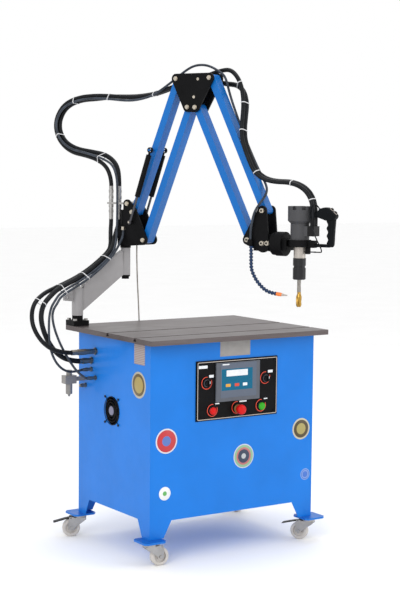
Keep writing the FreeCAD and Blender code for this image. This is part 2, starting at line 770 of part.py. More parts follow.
def through_bolt(name, x, z, half_grip):
    """A pivot bolt with its washer and head at the front and its nut and washer at the back."""
    head = "pivot_head_height"
    washer = "pivot_washer_thickness"
    grip = f"({half_grip})"
    shank = rod(name + "_shank", "pivot_diameter", f"2 * {grip} + {washer} + {head}", x, f"-{grip}", z, "y")
    front = rod(name + "_washer", "pivot_washer_diameter", washer, x, f"-{grip} - {washer}", z, "y")
    top = hexagon(name + "_top", "pivot_head_across", head, x, f"-{grip} - {washer} - {head}", z, "y")
    back = rod(name + "_back", "pivot_washer_diameter", washer, x, grip, z, "y")
    nut = hexagon(name + "_hex", "pivot_head_across", head, x, f"{grip} + {washer}", z, "y")
    thread = rod(name + "_thread", "pivot_diameter + 2 * running_gap", f"{head} + 2 * {washer}", x, grip, z, "y")
    return [fuse(name, shank, front, top), cut(name + "_nut", fuse(name + "_nut_blank", back, nut), thread)]


def rounded_plate(name, corners, thickness, y, holes, diameter):
    """A flat plate round several pivots: the tight outline of their circles, with a bore at each hole."""
    circles = [(Vector(number(x), 0, number(z)), number(radius)) for x, z, radius in corners]
    count = len(circles)
    sides = []
    for index, (start, start_radius) in enumerate(circles):
        end, end_radius = circles[(index + 1) % count]
        way = end - start
        length = way.Length
        way = way / length
        outward = Vector(way.z, 0, -way.x)
        lean = (start_radius - end_radius) / length
        normal = outward * math.sqrt(1 - lean * lean) + way * lean
        sides.append((start + normal * start_radius, end + normal * end_radius, normal))
    edges = []
    for index, (start, end, normal) in enumerate(sides):
        edges.append(Part.LineSegment(start, end).toShape())
        after = sides[(index + 1) % count]
        centre, radius = circles[(index + 1) % count]
        middle = normal + after[2]
        middle.normalize()
        edges.append(Part.Arc(end, centre + middle * radius, after[0]).toShape())
    face = Part.Face(Part.Wire(edges))
    shape = face.extrude(Vector(0, number(thickness), 0))
    bore = number(diameter) / 2
    reach = number(thickness) + 2 * number("cut_overrun")
    for x, z in holes:
        start = Vector(number(x), -number("cut_overrun"), number(z))
        shape = shape.cut(Part.makeCylinder(bore, reach, start, Vector(0, 1, 0)))
    piece = document.addObject("Part::Feature", name)
    piece.Shape = shape
    piece.Placement = FreeCAD.Placement(Vector(0, number(y), 0), FreeCAD.Rotation())
    return piece


def route_wire(name, points):
    """Straight runs joined by tangent arcs, each arc as large as its two runs allow."""
    spots = [Vector(*point) for point in points]
    edges = []
    radii = []
    start = spots[0]
    for before, corner, after in zip(spots, spots[1:], spots[2:]):
        back = before - corner
        ahead = after - corner
        reach = 0.45 * min(back.Length, ahead.Length)
        back.normalize()
        ahead.normalize()
        turn = math.pi - back.getAngle(ahead)
        radii.append(reach / math.tan(turn / 2))
        middle = back + ahead
        middle.normalize()
        depth = radii[-1] / math.cos(turn / 2) - radii[-1]
        entry = corner + back * reach
        leave = corner + ahead * reach
        edges.append(Part.LineSegment(start, entry).toShape())
        edges.append(Part.Arc(entry, corner + middle * depth, leave).toShape())
        start = leave
    edges.append(Part.LineSegment(start, spots[-1]).toShape())
    print(f"{name}: length {sum(edge.Length for edge in edges):.0f}, least radius {min(radii):.0f}")
    return Part.Wire(edges)


def arm_route(parts):
    """The points of a route whose parts are measured from named places of the arm."""
    points = []
    for place, offsets in parts:
        reach, rise = (number(words) for words in ROUTE_PLACES[place])
        points += [(reach + x, y, rise + z) for x, y, z in offsets]
    return points


def hose(name, points, diameter):
    """A round hose along a route with a hair's gap at both ends, its volume compared with section times length."""
    points = [Vector(*point) for point in points]
    first, last = points[1] - points[0], points[-2] - points[-1]
    points[0] += first * (number("face_gap") / first.Length)
    points[-1] += last * (number("face_gap") / last.Length)
    wire = route_wire(name, points)
    radius = number(diameter) / 2
    way = Vector(*points[1]) - Vector(*points[0])
    section = Part.Wire(Part.makeCircle(radius, Vector(*points[0]), way))
    piece = document.addObject("Part::Feature", name)
    piece.Shape = wire.makePipeShell([section], True, False)
    share = piece.Shape.Volume / (math.pi * radius * radius * wire.Length)
    if abs(share - 1) > 0.01:
        raise RuntimeError(f"{name} fills {share:.3f} of its length")
    return piece


def jointed_hose(name, points, outer, waist, bore):
    """A coolant hose of ball joints: four circles to each joint, ruled, with a bore down its middle."""
    wire = route_wire(name, points)
    edges = wire.OrderedEdges
    starts = [0.0]
    for edge in edges:
        starts.append(starts[-1] + edge.Length)

    def station(distance):
        for edge, start in zip(edges, starts):
            if distance <= start + edge.Length + 1e-9:
                break
        parameter = edge.getParameterByLength(min(max(distance - start, 0.0), edge.Length))
        centre = edge.valueAt(parameter)
        way = edge.tangentAt(parameter)
        if edge.Orientation == "Reversed":
            way = way * -1
        return centre, way

    def ring(distance, radius):
        centre, way = station(distance)
        side = Vector(0, 1, 0).cross(way)
        side.normalize()
        circle = Part.Circle(centre, way, radius)
        circle.XAxis = side
        return Part.Wire(circle.toShape())

    pitch = wire.Length / RIB_COUNT
    profile = ((0.0, waist), (0.22, outer), (0.7, outer), (0.98, waist))
    rings = [ring(pitch * (rib + share), radius) for rib in range(RIB_COUNT) for share, radius in profile]
    rings.append(ring(wire.Length, waist))
    outside = Part.makeLoft(rings, True, True)
    inner = [ring(pitch * rib, bore) for rib in range(RIB_COUNT + 1)]
    piece = document.addObject("Part::Feature", name)
    piece.Shape = outside.cut(Part.makeLoft(inner, True, True))
    return piece


NODES = []


def node(name, parts, **place):
    """One kept piece or set of pieces under the name that it is written out with."""
    whole = group(name, parts, **place)
    whole.Label = name
    NODES.append(whole)
    return whole


def arm_node(name, parts):
    """A node that is drawn in the arm's plane and turned to where the arm stands."""
    return node(name, parts, x="arm_x", y="arm_y", z="arm_floor", angle="arm_angle")


def tool_node(name, parts):
    """A node drawn round the spindle's axis, with its zero at the tilt axis."""
    return arm_node(name, [group(name + "_in_arm", parts, x="tool_x", z="tilt_z")])


CORNERS = {"front_left": (-1, -1), "front_right": (1, -1), "rear_left": (-1, 1), "rear_right": (1, 1)}


def table_bolt_places():
    """The four corners of the cabinet's top rim, each with a name."""
    across = "(cabinet_width - top_rim_width) / 2"
    back = "(cabinet_depth - top_rim_width) / 2"
    return [(corner, f"{right} * {across}", f"{rear} * {back}") for corner, (right, rear) in CORNERS.items()]


def make_table():
    """Table top with two tee slots, and the four bolts that hold it from below."""
    slab = box("slab", "table_length", "table_width", "table_thickness", z="cabinet_top")
    document.recompute()
    rounded = document.addObject("Part::Fillet", "rounded_slab")
    rounded.Base = slab
    upright = [index for index, edge in enumerate(slab.Shape.Edges, start=1)
               if abs(edge.tangentAt(edge.FirstParameter).z) > 0.5]
    corner = number("table_corner")
    rounded.Edges = [(index, corner, corner) for index in upright]
    cuts = []
    reach = "table_length + 2 * cut_overrun"
    for name in ("rear", "front"):
        y = f"-{name}_slot_setback"
        cuts.append(box(name + "_neck", reach, "slot_neck_width", "slot_neck_depth + cut_overrun", y=y,
                        z="table_height - slot_neck_depth"))
        cuts.append(box(name + "_tee", reach, "slot_tee_width", "slot_tee_depth", y=y,
                        z="table_height - slot_neck_depth - slot_tee_depth"))
    under_rim = "cabinet_top - sheet_thickness"
    bolts = []
    for corner, x, y in table_bolt_places():
        cuts.append(rod(f"{corner}_table_hole", "table_bolt_diameter", "table_bolt_depth + cut_overrun", x, y,
                        "cabinet_top - cut_overrun"))
        bolts.append(bolt(f"{corner}_table_bolt", "table_bolt_diameter", "table_bolt_head",
                          "table_bolt_head_height", "sheet_thickness + table_bolt_depth", x, y, under_rim))
    node("table_top", [cut("table", rounded, *cuts)] + bolts)


def make_cabinet():
    """Folded shell with four tapered legs, its rear door and its tray."""
    wide = "cabinet_width"
    deep = "cabinet_depth"
    high = "cabinet_top - leg_foot_height"
    outer = box("shell_outer", wide, deep, high, z="leg_foot_height")
    inner = box("shell_inner", f"{wide} - 2 * sheet_thickness", f"{deep} - 2 * sheet_thickness",
                f"{high} + 2 * cut_overrun", z="leg_foot_height - cut_overrun")
    rim = cut("rim", box("rim_outer", wide, deep, "sheet_thickness", z="cabinet_top - sheet_thickness"),
              box("rim_inner", f"{wide} - 2 * top_rim_width", f"{deep} - 2 * top_rim_width",
                  "sheet_thickness + 2 * cut_overrun", z="cabinet_top - sheet_thickness - cut_overrun"))
    walls = fuse("walls", cut("tube", outer, inner), rim)

    def gap(name, half, top, foot, thickness, plane):
        low = "leg_foot_height - cut_overrun"
        spread = f"({half} - {foot}) + ({top} - {foot}) * cut_overrun / (skirt_height - leg_foot_height)"
        outline = [(f"-({half} - {top})", "skirt_height"), (f"-({spread})", low),
                   (spread, low), (f"{half} - {top}", "skirt_height")]
        return prism(name, outline, f"{thickness} + 2 * cut_overrun", plane)

    front_gap = gap("front_gap", "cabinet_width / 2", "leg_top_width", "leg_foot_width", deep, "XZ_Plane")
    side_gap = gap("side_gap", "cabinet_depth / 2", "leg_top_depth", "leg_foot_depth", wide, "YZ_Plane")
    through = "sheet_thickness + 2 * cut_overrun"
    doorway = box("doorway", f"{wide} - 2 * door_margin", through,
                  "cabinet_top - skirt_height - 2 * door_margin", y="-front_face - sheet_thickness / 2",
                  z="skirt_height + door_margin")
    window = box("window", "panel_width - 2 * panel_lip", through, "panel_height - 2 * panel_lip",
                 x="panel_shift", y="front_face + sheet_thickness / 2",
                 z="panel_middle_height - panel_height / 2 + panel_lip")
    fan_hole = rod("fan_hole", "fan_opening", through, "left_face - cut_overrun", "fan_setback", "fan_middle", "x")
    bolt_holes = [rod(f"{corner}_rim_hole", "table_bolt_diameter + 2 * running_gap", through, x, y,
                      "cabinet_top - sheet_thickness - cut_overrun") for corner, x, y in table_bolt_places()]
    node("cabinet_shell", [cut("shell", walls, front_gap, side_gap, doorway, window, fan_hole, *bolt_holes)])

    door_width = f"{wide} - 2 * door_margin + 2 * door_overlap"
    door_height = "cabinet_top - skirt_height - 2 * door_margin + 2 * door_overlap"
    door_bottom = "skirt_height + door_margin - door_overlap"
    door_y = "-front_face + sheet_thickness / 2"
    door = box("door", door_width, "sheet_thickness", door_height, y=door_y, z=door_bottom)
    louvres = [box(f"louvre_{row}", "louvre_length", through, "louvre_width", y=door_y,
                   z=f"{door_bottom} + ({door_height}) / 3 + {row} * louvre_pitch") for row in range(8)]
    screws = []
    for side in (-1, 1):
        for level in (0, 1):
            x = f"{side} * (({door_width}) / 2 - door_screw_diameter)"
            z = f"{door_bottom} + door_screw_diameter + {level} * ({door_height} - 2 * door_screw_diameter)"
            screws.append(rod(f"door_screw_{side}_{level}", "door_screw_diameter", "door_screw_height", x,
                              "-front_face + sheet_thickness", z, "y"))
    gland = rod("lead_gland", "lead_gland_diameter", "lead_gland_length", "lead_gland_shift",
                "-front_face + sheet_thickness", "lead_gland_height", "y")
    node("rear_panel", [cut("rear_door", door, *louvres), gland] + screws)

    tray_length = f"{wide} - 2 * sheet_thickness"
    tray_width = f"{deep} - 2 * sheet_thickness"
    tray = cut("tray", box("tray_outer", tray_length, tray_width, "tray_height", z="skirt_height"),
               box("tray_inner", f"{tray_length} - 2 * sheet_thickness", f"{tray_width} - 2 * sheet_thickness",
                   "tray_height", z="unit_floor"))
    node("base_tray", [tray])


def make_hydraulics():
    """Oil tank with its lid, the electric motor, pump and valve block on it, and the electrics box beside."""
    x = "unit_shift"
    tank = cut("tank", box("tank_outer", "tank_length", "tank_depth", "tank_height", x=x, z="unit_floor"),
               box("tank_inner", "tank_length - 2 * tank_wall", "tank_depth - 2 * tank_wall", "tank_height",
                   x=x, z="unit_floor + tank_wall"))
    lid = box("tank_lid", "tank_length", "tank_depth", "lid_thickness", x=x, z="tank_top")
    motor_x = "unit_shift - tank_length / 4"
    motor = fuse("pump_motor", rod("motor_case", "motor_diameter", "motor_length", motor_x, "0",
                                   "lid_top + pump_length"),
                 rod("pump", "pump_diameter", "pump_length", motor_x, "0", "lid_top"))
    valve = box("valve_block", "valve_side", "valve_side", "valve_height", x="unit_shift + tank_length / 4",
                z="lid_top")
    electrics = box("electrics", "box_length", "box_depth", "box_height",
                    x="unit_shift + tank_length / 2 + box_length / 2 + tank_wall", z="unit_floor")
    node("hydraulic_unit", [tank, lid, motor, valve, electrics])


def make_casters():
    """Leg plates and swivel heads in one node; a fork and a wheel to each corner, pedals on two of them."""
    mounts = []
    for corner, (right, back) in CORNERS.items():
        x = f"{right} * caster_x"
        y = f"{back} * caster_y"
        side = "leg_plate_side / 2"
        low = f"-({side})"
        near = f"{side} - leg_plate_corner"
        outline = [(low, f"-({near})"), (f"-({near})", low), (near, low), (side, f"-({near})"),
                   (side, near), (near, side), (f"-({near})", side), (low, near)]
        mounts.append(prism(f"{corner}_leg_plate", outline, "leg_plate_thickness", "XY_Plane", x, y,
                            "caster_height + leg_plate_thickness / 2"))
        rivet_top = "crown_bottom - face_gap"
        rivet_bottom = f"{rivet_top} - king_rivet_thickness"
        mounts.append(fuse(
            f"{corner}_swivel_head",
            box(f"{corner}_head_plate", "head_plate_length", "head_plate_width", "head_plate_thickness", x, y,
                "caster_height - head_plate_thickness"),
            rod(f"{corner}_race", "race_diameter", "race_height", x, y, "race_bottom"),
            rod(f"{corner}_king_pin", "king_pin_diameter", f"race_bottom - ({rivet_bottom})", x, y, rivet_bottom),
            rod(f"{corner}_king_rivet", "king_rivet_diameter", "king_rivet_thickness", x, y, rivet_bottom)))
        place = {"x": x, "y": y, "angle": f"{corner}_trail_angle"}
        node(f"caster_fork_{corner}", make_fork(corner), **place)
        node(f"caster_wheel_{corner}", [make_wheel(corner)], **place)
        if corner in ("front_right", "rear_left"):
            node(f"brake_pedal_{corner}", [make_pedal(corner)], **place)
    node("caster_mounts", mounts)


def make_fork(corner):
    """Crown plate with two cheeks that lean back to the axle, and the axle bolt with its nut."""
    axle_z = "wheel_diameter / 2"
    crown = box(f"{corner}_crown", "crown_length", "cheek_gap + 2 * cheek_thickness", "crown_thickness",
                z="crown_bottom")
    half = "crown_length / 2"
    nose = "axle_diameter + 2 * cheek_thickness"
    top = "crown_bottom + crown_thickness"
    ear = "pedal_pin_reach"
    outline = [(f"-{half}", top), (f"-{half}", "crown_bottom - cheek_thickness"),
               (f"trail - {nose}", f"{axle_z} - axle_diameter"), (f"trail - axle_diameter", f"{axle_z} - {nose}"),
               (f"trail + axle_diameter", f"{axle_z} - {nose}"), (f"trail + {nose}", f"{axle_z} - axle_diameter"),
               (f"{ear} + pedal_barrel_diameter", f"pedal_pin_height - pedal_barrel_diameter / 2"),
               (f"{ear} + pedal_pin_diameter", f"pedal_pin_height + pedal_barrel_diameter / 2"),
               (f"{ear} - pedal_pin_diameter", f"pedal_pin_height + pedal_barrel_diameter / 2"),
               (f"{half} + cheek_thickness", top)]
    cheek_y = "(cheek_gap + cheek_thickness) / 2"
    cheeks = [prism(f"{corner}_cheek_{side}", outline, "cheek_thickness", y=f"{side} * {cheek_y}")
              for side in (-1, 1)]
    across = "cheek_gap + 2 * cheek_thickness + 2 * cut_overrun"
    start = "-(cheek_gap / 2 + cheek_thickness + cut_overrun)"
    bores = [rod(f"{corner}_pin_hole", "king_pin_diameter + 2 * running_gap", "crown_thickness + 2 * cut_overrun",
                 z="crown_bottom - cut_overrun"),
             rod(f"{corner}_axle_hole", "axle_diameter", across, "trail", start, axle_z, "y"),
             rod(f"{corner}_ear_hole", "pedal_pin_diameter + 2 * running_gap", across, ear, start,
                 "pedal_pin_height", "y")]
    fork = cut(f"{corner}_fork", fuse(f"{corner}_fork_blank", crown, *cheeks), *bores)
    half_fork = "cheek_gap / 2 + cheek_thickness"
    axle = fuse(f"{corner}_axle",
                rod(f"{corner}_axle_bar", "axle_diameter", f"2 * ({half_fork})", "trail", f"-({half_fork})",
                    axle_z, "y"),
                rod(f"{corner}_axle_head", "axle_head_diameter", "axle_head_thickness", "trail",
                    f"-({half_fork}) - axle_head_thickness", axle_z, "y"),
                hexagon(f"{corner}_axle_nut", "axle_head_diameter", "axle_head_thickness", "trail", half_fork,
                        axle_z, "y"))
    return [fork, axle]


def make_wheel(corner):
    """Wheel with a hub, a web and a rounded tread, turned about its axle."""
    bore = "axle_diameter / 2 + running_gap"
    hub = "wheel_hub_diameter / 2"
    rim = "rim_diameter / 2"
    tread = "wheel_diameter / 2"
    wide = "cheek_gap / 2 - face_gap"
    side = [(bore, wide), (hub, wide), (hub, "web_width / 2"), (rim, "web_width / 2"), (rim, "tread_width / 2"),
            (f"{tread} - tread_round", "tread_width / 2"), (tread, "tread_width / 2 - tread_round")]
    other = [(radius, f"-({height})") for radius, height in reversed(side)]
    return turned(f"{corner}_wheel", side + other, x="trail", z="wheel_diameter / 2", along="y")


def make_pedal(corner):
    """Brake pedal: a bent plate that swings on a pin between the fork's ears."""
    pin_x = "pedal_pin_reach"
    pin_z = "pedal_pin_height"
    half = "pedal_thickness / 2"
    knee = "trail + wheel_diameter / 3"
    outline = [(pin_x, f"{pin_z} - {half}"), (knee, f"pedal_knee_height - {half}"),
               ("pedal_reach", f"pedal_tip_height - {half}"), ("pedal_reach", f"pedal_tip_height + {half}"),
               (knee, f"pedal_knee_height + {half}"), (pin_x, f"{pin_z} + {half}")]
    plate = prism(f"{corner}_pedal_plate", outline, "pedal_width")
    barrel = rod(f"{corner}_pedal_barrel", "pedal_barrel_diameter", "pedal_width", pin_x, "-pedal_width / 2",
                 pin_z, "y")
    reach = "cheek_gap / 2 + cheek_thickness"
    pin = rod(f"{corner}_pedal_pin", "pedal_pin_diameter", f"2 * ({reach})", pin_x, f"-({reach})", pin_z, "y")
    return fuse(f"{corner}_pedal", plate, barrel, pin)


CONTROLS = {"left_knob": "knob_row_height", "right_knob": "knob_row_height", "red_button": "button_row_height",
            "stop_button": "button_row_height", "green_button": "button_row_height"}


def make_panel():
    """Control panel with its screws, the switch bodies behind it and the screen unit."""
    y = "front_face - panel_thickness / 2"
    bottom = "panel_middle_height - panel_height / 2"
    through = "panel_thickness + 2 * cut_overrun"
    blank = box("panel_blank", "panel_width", "panel_thickness", "panel_height", "panel_shift", y, bottom)
    case_width = "bezel_width - 2 * screen_case_margin"
    case_height = "bezel_height - 2 * screen_case_margin"
    case_bottom = f"bezel_middle_height - ({case_height}) / 2"
    holes = [box("case_hole", case_width, through, case_height, "panel_shift", y, case_bottom)]
    bodies = []
    for name, row in CONTROLS.items():
        x = f"{name}_shift"
        holes.append(rod(f"{name}_hole", "barrel_diameter", through, x, "panel_face - cut_overrun", row, "y"))
        collar = rod(f"{name}_collar", "collar_diameter", "collar_height", x, "panel_face - collar_height", row, "y")
        barrel = rod(f"{name}_barrel", "barrel_diameter", "panel_thickness + sheet_thickness", x, "panel_face",
                     row, "y")
        block = box(f"{name}_block", "switch_side", "switch_depth", "switch_side", x,
                    "front_face + sheet_thickness + switch_depth / 2", f"{row} - switch_side / 2")
        bore = rod(f"{name}_bore", "stem_diameter + 2 * running_gap",
                   "collar_height + stem_length + button_travel + cut_overrun", x,
                   "panel_face - collar_height - cut_overrun", row, "y")
        bodies.append(cut(f"{name}_switch", fuse(f"{name}_switch_blank", collar, barrel, block), bore))
    screws = []
    for side in (-1, 1):
        for level in (-1, 1):
            x = f"panel_shift + {side} * (panel_width / 2 - panel_screw_inset)"
            z = f"panel_middle_height + {level} * (panel_height / 2 - panel_screw_inset)"
            screws.append(rod(f"panel_screw_{side}_{level}", "panel_screw_diameter", "panel_screw_height", x,
                              "panel_face - panel_screw_height", z, "y"))
    node("control_panel", [cut("panel", blank, *holes)] + screws)
    node("switch_bodies", bodies)

    bezel = box("bezel", "bezel_width", "bezel_depth", "bezel_height", "panel_shift",
                "panel_face - bezel_depth / 2", "bezel_middle_height - bezel_height / 2")
    case = box("screen_case", case_width, "screen_case_depth", case_height, "panel_shift",
               "panel_face + screen_case_depth / 2", case_bottom)
    recess = box("screen_recess", "screen_width", "screen_thickness", "screen_height", "panel_shift",
                 "panel_face - bezel_depth + screen_thickness / 2",
                 "bezel_middle_height + screen_lift - screen_height / 2")
    glass = box("screen_glass", "screen_width", "screen_thickness", "screen_height", "panel_shift",
                "panel_face - bezel_depth + screen_thickness / 2",
                "bezel_middle_height + screen_lift - screen_height / 2")
    node("screen_unit", [cut("screen_housing", fuse("screen_blank", bezel, case), recess), glass])


def make_controls():
    """Selector knobs and push buttons, whose stems run in the switch bodies."""
    for name in ("left_knob", "right_knob"):
        x = f"{name}_shift"
        row = "knob_row_height"
        seat = "panel_face - collar_height - face_gap"
        base = rod(f"{name}_base", "knob_diameter", "knob_height", x, f"{seat} - knob_height", row, "y")
        bar = box(f"{name}_bar", "knob_bar_width", "knob_bar_height", "knob_diameter", x,
                  f"{seat} - knob_bar_height / 2", f"{row} - knob_diameter / 2")
        stem = rod(f"{name}_stem", "stem_diameter", "stem_length", x, seat, row, "y")
        node(name, [fuse(f"{name}_turned", base, bar, stem)])
    for name, head, height in (("red_button", "red_head_diameter", "button_head_height"),
                               ("green_button", "green_head_diameter", "button_head_height"),
                               ("stop_button", "stop_head_diameter", "stop_head_height")):
        x = f"{name}_shift"
        row = "button_row_height"
        seat = "panel_face - collar_height - face_gap - button_travel"
        parts = [rod(f"{name}_stem", "stem_diameter", "stem_length", x, seat, row, "y")]
        front = seat
        if name == "stop_button":
            front = f"{seat} - stop_neck_length"
            parts.append(rod(f"{name}_neck", "stop_neck_diameter", "stop_neck_length", x, front, row, "y"))
        parts.append(rod(f"{name}_rim", head, f"2 * {height} / 3", x, f"{front} - 2 * {height} / 3", row, "y"))
        parts.append(cone(f"{name}_crown", f"0.8 * {head}", head, f"{height} / 3", x, f"{front} - {height}",
                          row, "y"))
        node(name, [fuse(f"{name}_head", *parts)])


# Places of the round labels on the front, as shares of the cabinet's width and the table's height.
DISC_SHARES = {"wide": ((-0.406, 0.548), (0.06, 0.44), (0.426, 0.536)),
               "narrow": ((-0.4135, 0.3156), (0.457, 0.3178))}


def make_plates():
    """Name plate, rating plate, oval plate and round labels, all bare."""
    name_plate = box("name_plate", "name_plate_width", "label_thickness", "name_plate_height",
                     y="front_face - label_thickness / 2", z="name_plate_middle - name_plate_height / 2")
    side = box("side_label", "label_thickness", "side_label_width", "side_label_height",
               "left_face - label_thickness / 2", "side_label_setback",
               "side_label_middle - side_label_height / 2")
    oval = rod("oval_plate", "oval_diameter", "label_thickness", "left_face - label_thickness", "oval_setback",
               "oval_middle", "x")
    discs = []
    for kind, shares in DISC_SHARES.items():
        for order, (across_share, up_share) in enumerate(shares):
            discs.append(rod(f"{kind}_disc_{order}", f"{kind}_disc_diameter", "label_thickness",
                             f"{across_share} * cabinet_width", "front_face - label_thickness",
                             f"{up_share} * table_height", "y"))
    node("blank_plates", [name_plate, side, oval] + discs)


def make_fan():
    """Fan frame inside the wall with its guard and screws outside, and the rotor on its pin."""
    y = "fan_setback"
    z = "fan_middle"
    wall = "left_face"
    frame = box("fan_block", "fan_frame_depth", "fan_frame_side", "fan_frame_side",
                "fan_inside + fan_frame_depth / 2", y, f"{z} - fan_frame_side / 2")
    duct = rod("fan_duct", "fan_opening - 2 * face_gap", "fan_frame_depth + 2 * cut_overrun",
               "fan_inside - cut_overrun", y, z, "x")
    strut_x = "fan_back - sheet_thickness / 2"
    upright = box("fan_upright", "sheet_thickness", "fan_strut_width", "fan_frame_side", strut_x, y,
                  f"{z} - fan_frame_side / 2")
    level = box("fan_level", "sheet_thickness", "fan_frame_side", "fan_strut_width", strut_x, y,
                f"{z} - fan_strut_width / 2")
    seat = rod("fan_seat", "fan_hub_diameter", "sheet_thickness", "fan_back - sheet_thickness", y, z, "x")
    pin = rod("fan_pin", "fan_pin_diameter", "fan_back - rotor_bore_start - face_gap",
              "rotor_bore_start + face_gap", y, z, "x")
    housing = fuse("fan_housing", cut("fan_shroud", frame, duct), upright, level, seat, pin)
    rings = []
    for order in range(1, 6):
        ring = document.addObject("Part::Torus", f"guard_ring_{order}")
        ring.Placement = FreeCAD.Placement(Vector(), LYING["x"])
        bind(ring, Radius1=f"{order} * fan_opening / 10 - fan_wire_diameter / 2", Radius2="fan_wire_diameter / 2",
             x=f"{wall} - 1.5 * fan_wire_diameter", y=y, z=z)
        rings.append(ring)
    half = "fan_screw_spacing / 2"
    spokes = []
    for turn in (45, 135):
        spoke = rod(f"guard_spoke_{turn}", "fan_wire_diameter", "fan_screw_spacing * sqrt(2)")
        spoke.Placement = FreeCAD.Placement(Vector(), FreeCAD.Rotation(Vector(1, 0, 0), turn))
        lean = f"{half} * {1 if turn == 45 else -1}"
        bind(spoke, x=f"{wall} - fan_wire_diameter / 2", y=f"{y} + {lean}" if turn == 45 else f"{y} + {half}",
             z=f"{z} - {half}" if turn == 45 else f"{z} + {half}")
        spokes.append(spoke)
    guard = fuse("fan_guard", *rings, *spokes)
    screws = []
    for side in (-1, 1):
        for level_side in (-1, 1):
            at_y = f"{y} + {side} * {half}"
            at_z = f"{z} + {level_side} * {half}"
            screws.append(rod(f"fan_screw_{side}_{level_side}", "2 * fan_screw_diameter", "fan_screw_diameter / 2",
                              f"{wall} - fan_wire_diameter - fan_screw_diameter / 2", at_y, at_z, "x"))
    node("fan_unit", [housing, guard] + screws)

    hub = rod("rotor_hub", "fan_hub_diameter", "fan_hub_depth", "rotor_start", y, z, "x")
    blades = []
    tip = "fan_opening / 2 - fan_tip_gap"
    for order in range(7):
        blade = box(f"rotor_blade_{order}", "fan_blade_depth", "fan_blade_thickness",
                    f"{tip} - fan_hub_diameter / 3", z="fan_hub_diameter / 3")
        lean = group(f"rotor_lean_{order}", [blade], angle="fan_blade_angle")
        turned_blade = group(f"rotor_turn_{order}", [lean], angle=f"{order} * 360 / 7", about=Vector(1, 0, 0))
        blades.append(bind(turned_blade, x="rotor_start + fan_hub_depth / 2", y=y, z=z))
    bore = rod("rotor_bore", "fan_pin_diameter + 2 * running_gap", "fan_frame_depth", "rotor_bore_start", y, z,
               "x")
    node("fan_rotor", [cut("rotor", fuse("rotor_blank", hub, *blades), bore)])


# Places of the fittings on the left wall, as shares of half the cabinet's depth and of the table's height.
FITTING_SHARES = {"pressure": (0.49477, 0.89778), "return": (0.60976, 0.85111), "air": (0.60976, 0.81),
                  "coolant": (0.49129, 0.77444), "brass": (0.78397, 0.72889)}
FITTING_KINDS = {"pressure": "fitting", "return": "fitting", "air": "small_fitting", "coolant": "small_fitting",
                 "brass": "small_fitting"}


def make_fittings():
    """Hose fittings that stand out of the left wall: a hexagon, a body and a stepped ferrule."""
    parts = []
    for name, (back_share, up_share) in FITTING_SHARES.items():
        kind = FITTING_KINDS[name]
        y = f"{back_share} * cabinet_depth / 2"
        z = f"{up_share} * table_height"
        length = f"{name}_fitting_length"
        root = "fitting_flange"
        hexa = hexagon(f"{name}_hex", f"{kind}_hex", root, f"left_face - {root}", y, z, "x")
        body = rod(f"{name}_body", f"{kind}_body", f"{length} - {root}", f"left_face - {length}", y, z, "x")
        collar = rod(f"{name}_ferrule", f"{kind}_body + sheet_thickness", f"{length} / 3",
                     f"left_face - {length} * 3 / 4", y, z, "x")
        parts.append(fuse(f"{name}_fitting", hexa, body, collar))
    node("bulkhead_fittings", parts)

    y = "filter_setback"
    low = "filter_middle - filter_head_height / 2"
    head_x = "left_face - filter_reach + filter_head_length / 2"
    head = box("filter_head", "filter_head_length", "filter_head_width", "filter_head_height", head_x, y, low)
    arm = box("filter_arm", "filter_reach - filter_head_length", "filter_arm_width", "filter_head_height / 2",
              "left_face - (filter_reach - filter_head_length) / 2", y, "filter_middle - filter_head_height / 4")
    knob = rod("filter_knob", "filter_knob_diameter", "filter_knob_height", head_x, y,
               "filter_middle + filter_head_height / 2")
    bowl = rod("filter_bowl", "filter_bowl_diameter", "filter_bowl_height", head_x, y,
               f"{low} - filter_bowl_height")
    drain = cone("filter_drain", "filter_bowl_diameter / 4", "filter_bowl_diameter / 2", "filter_bowl_height / 4",
                 head_x, y, f"{low} - filter_bowl_height - filter_bowl_height / 4")
    node("air_filter", [fuse("filter_body", head, arm, knob), fuse("filter_cup", bowl, drain)])


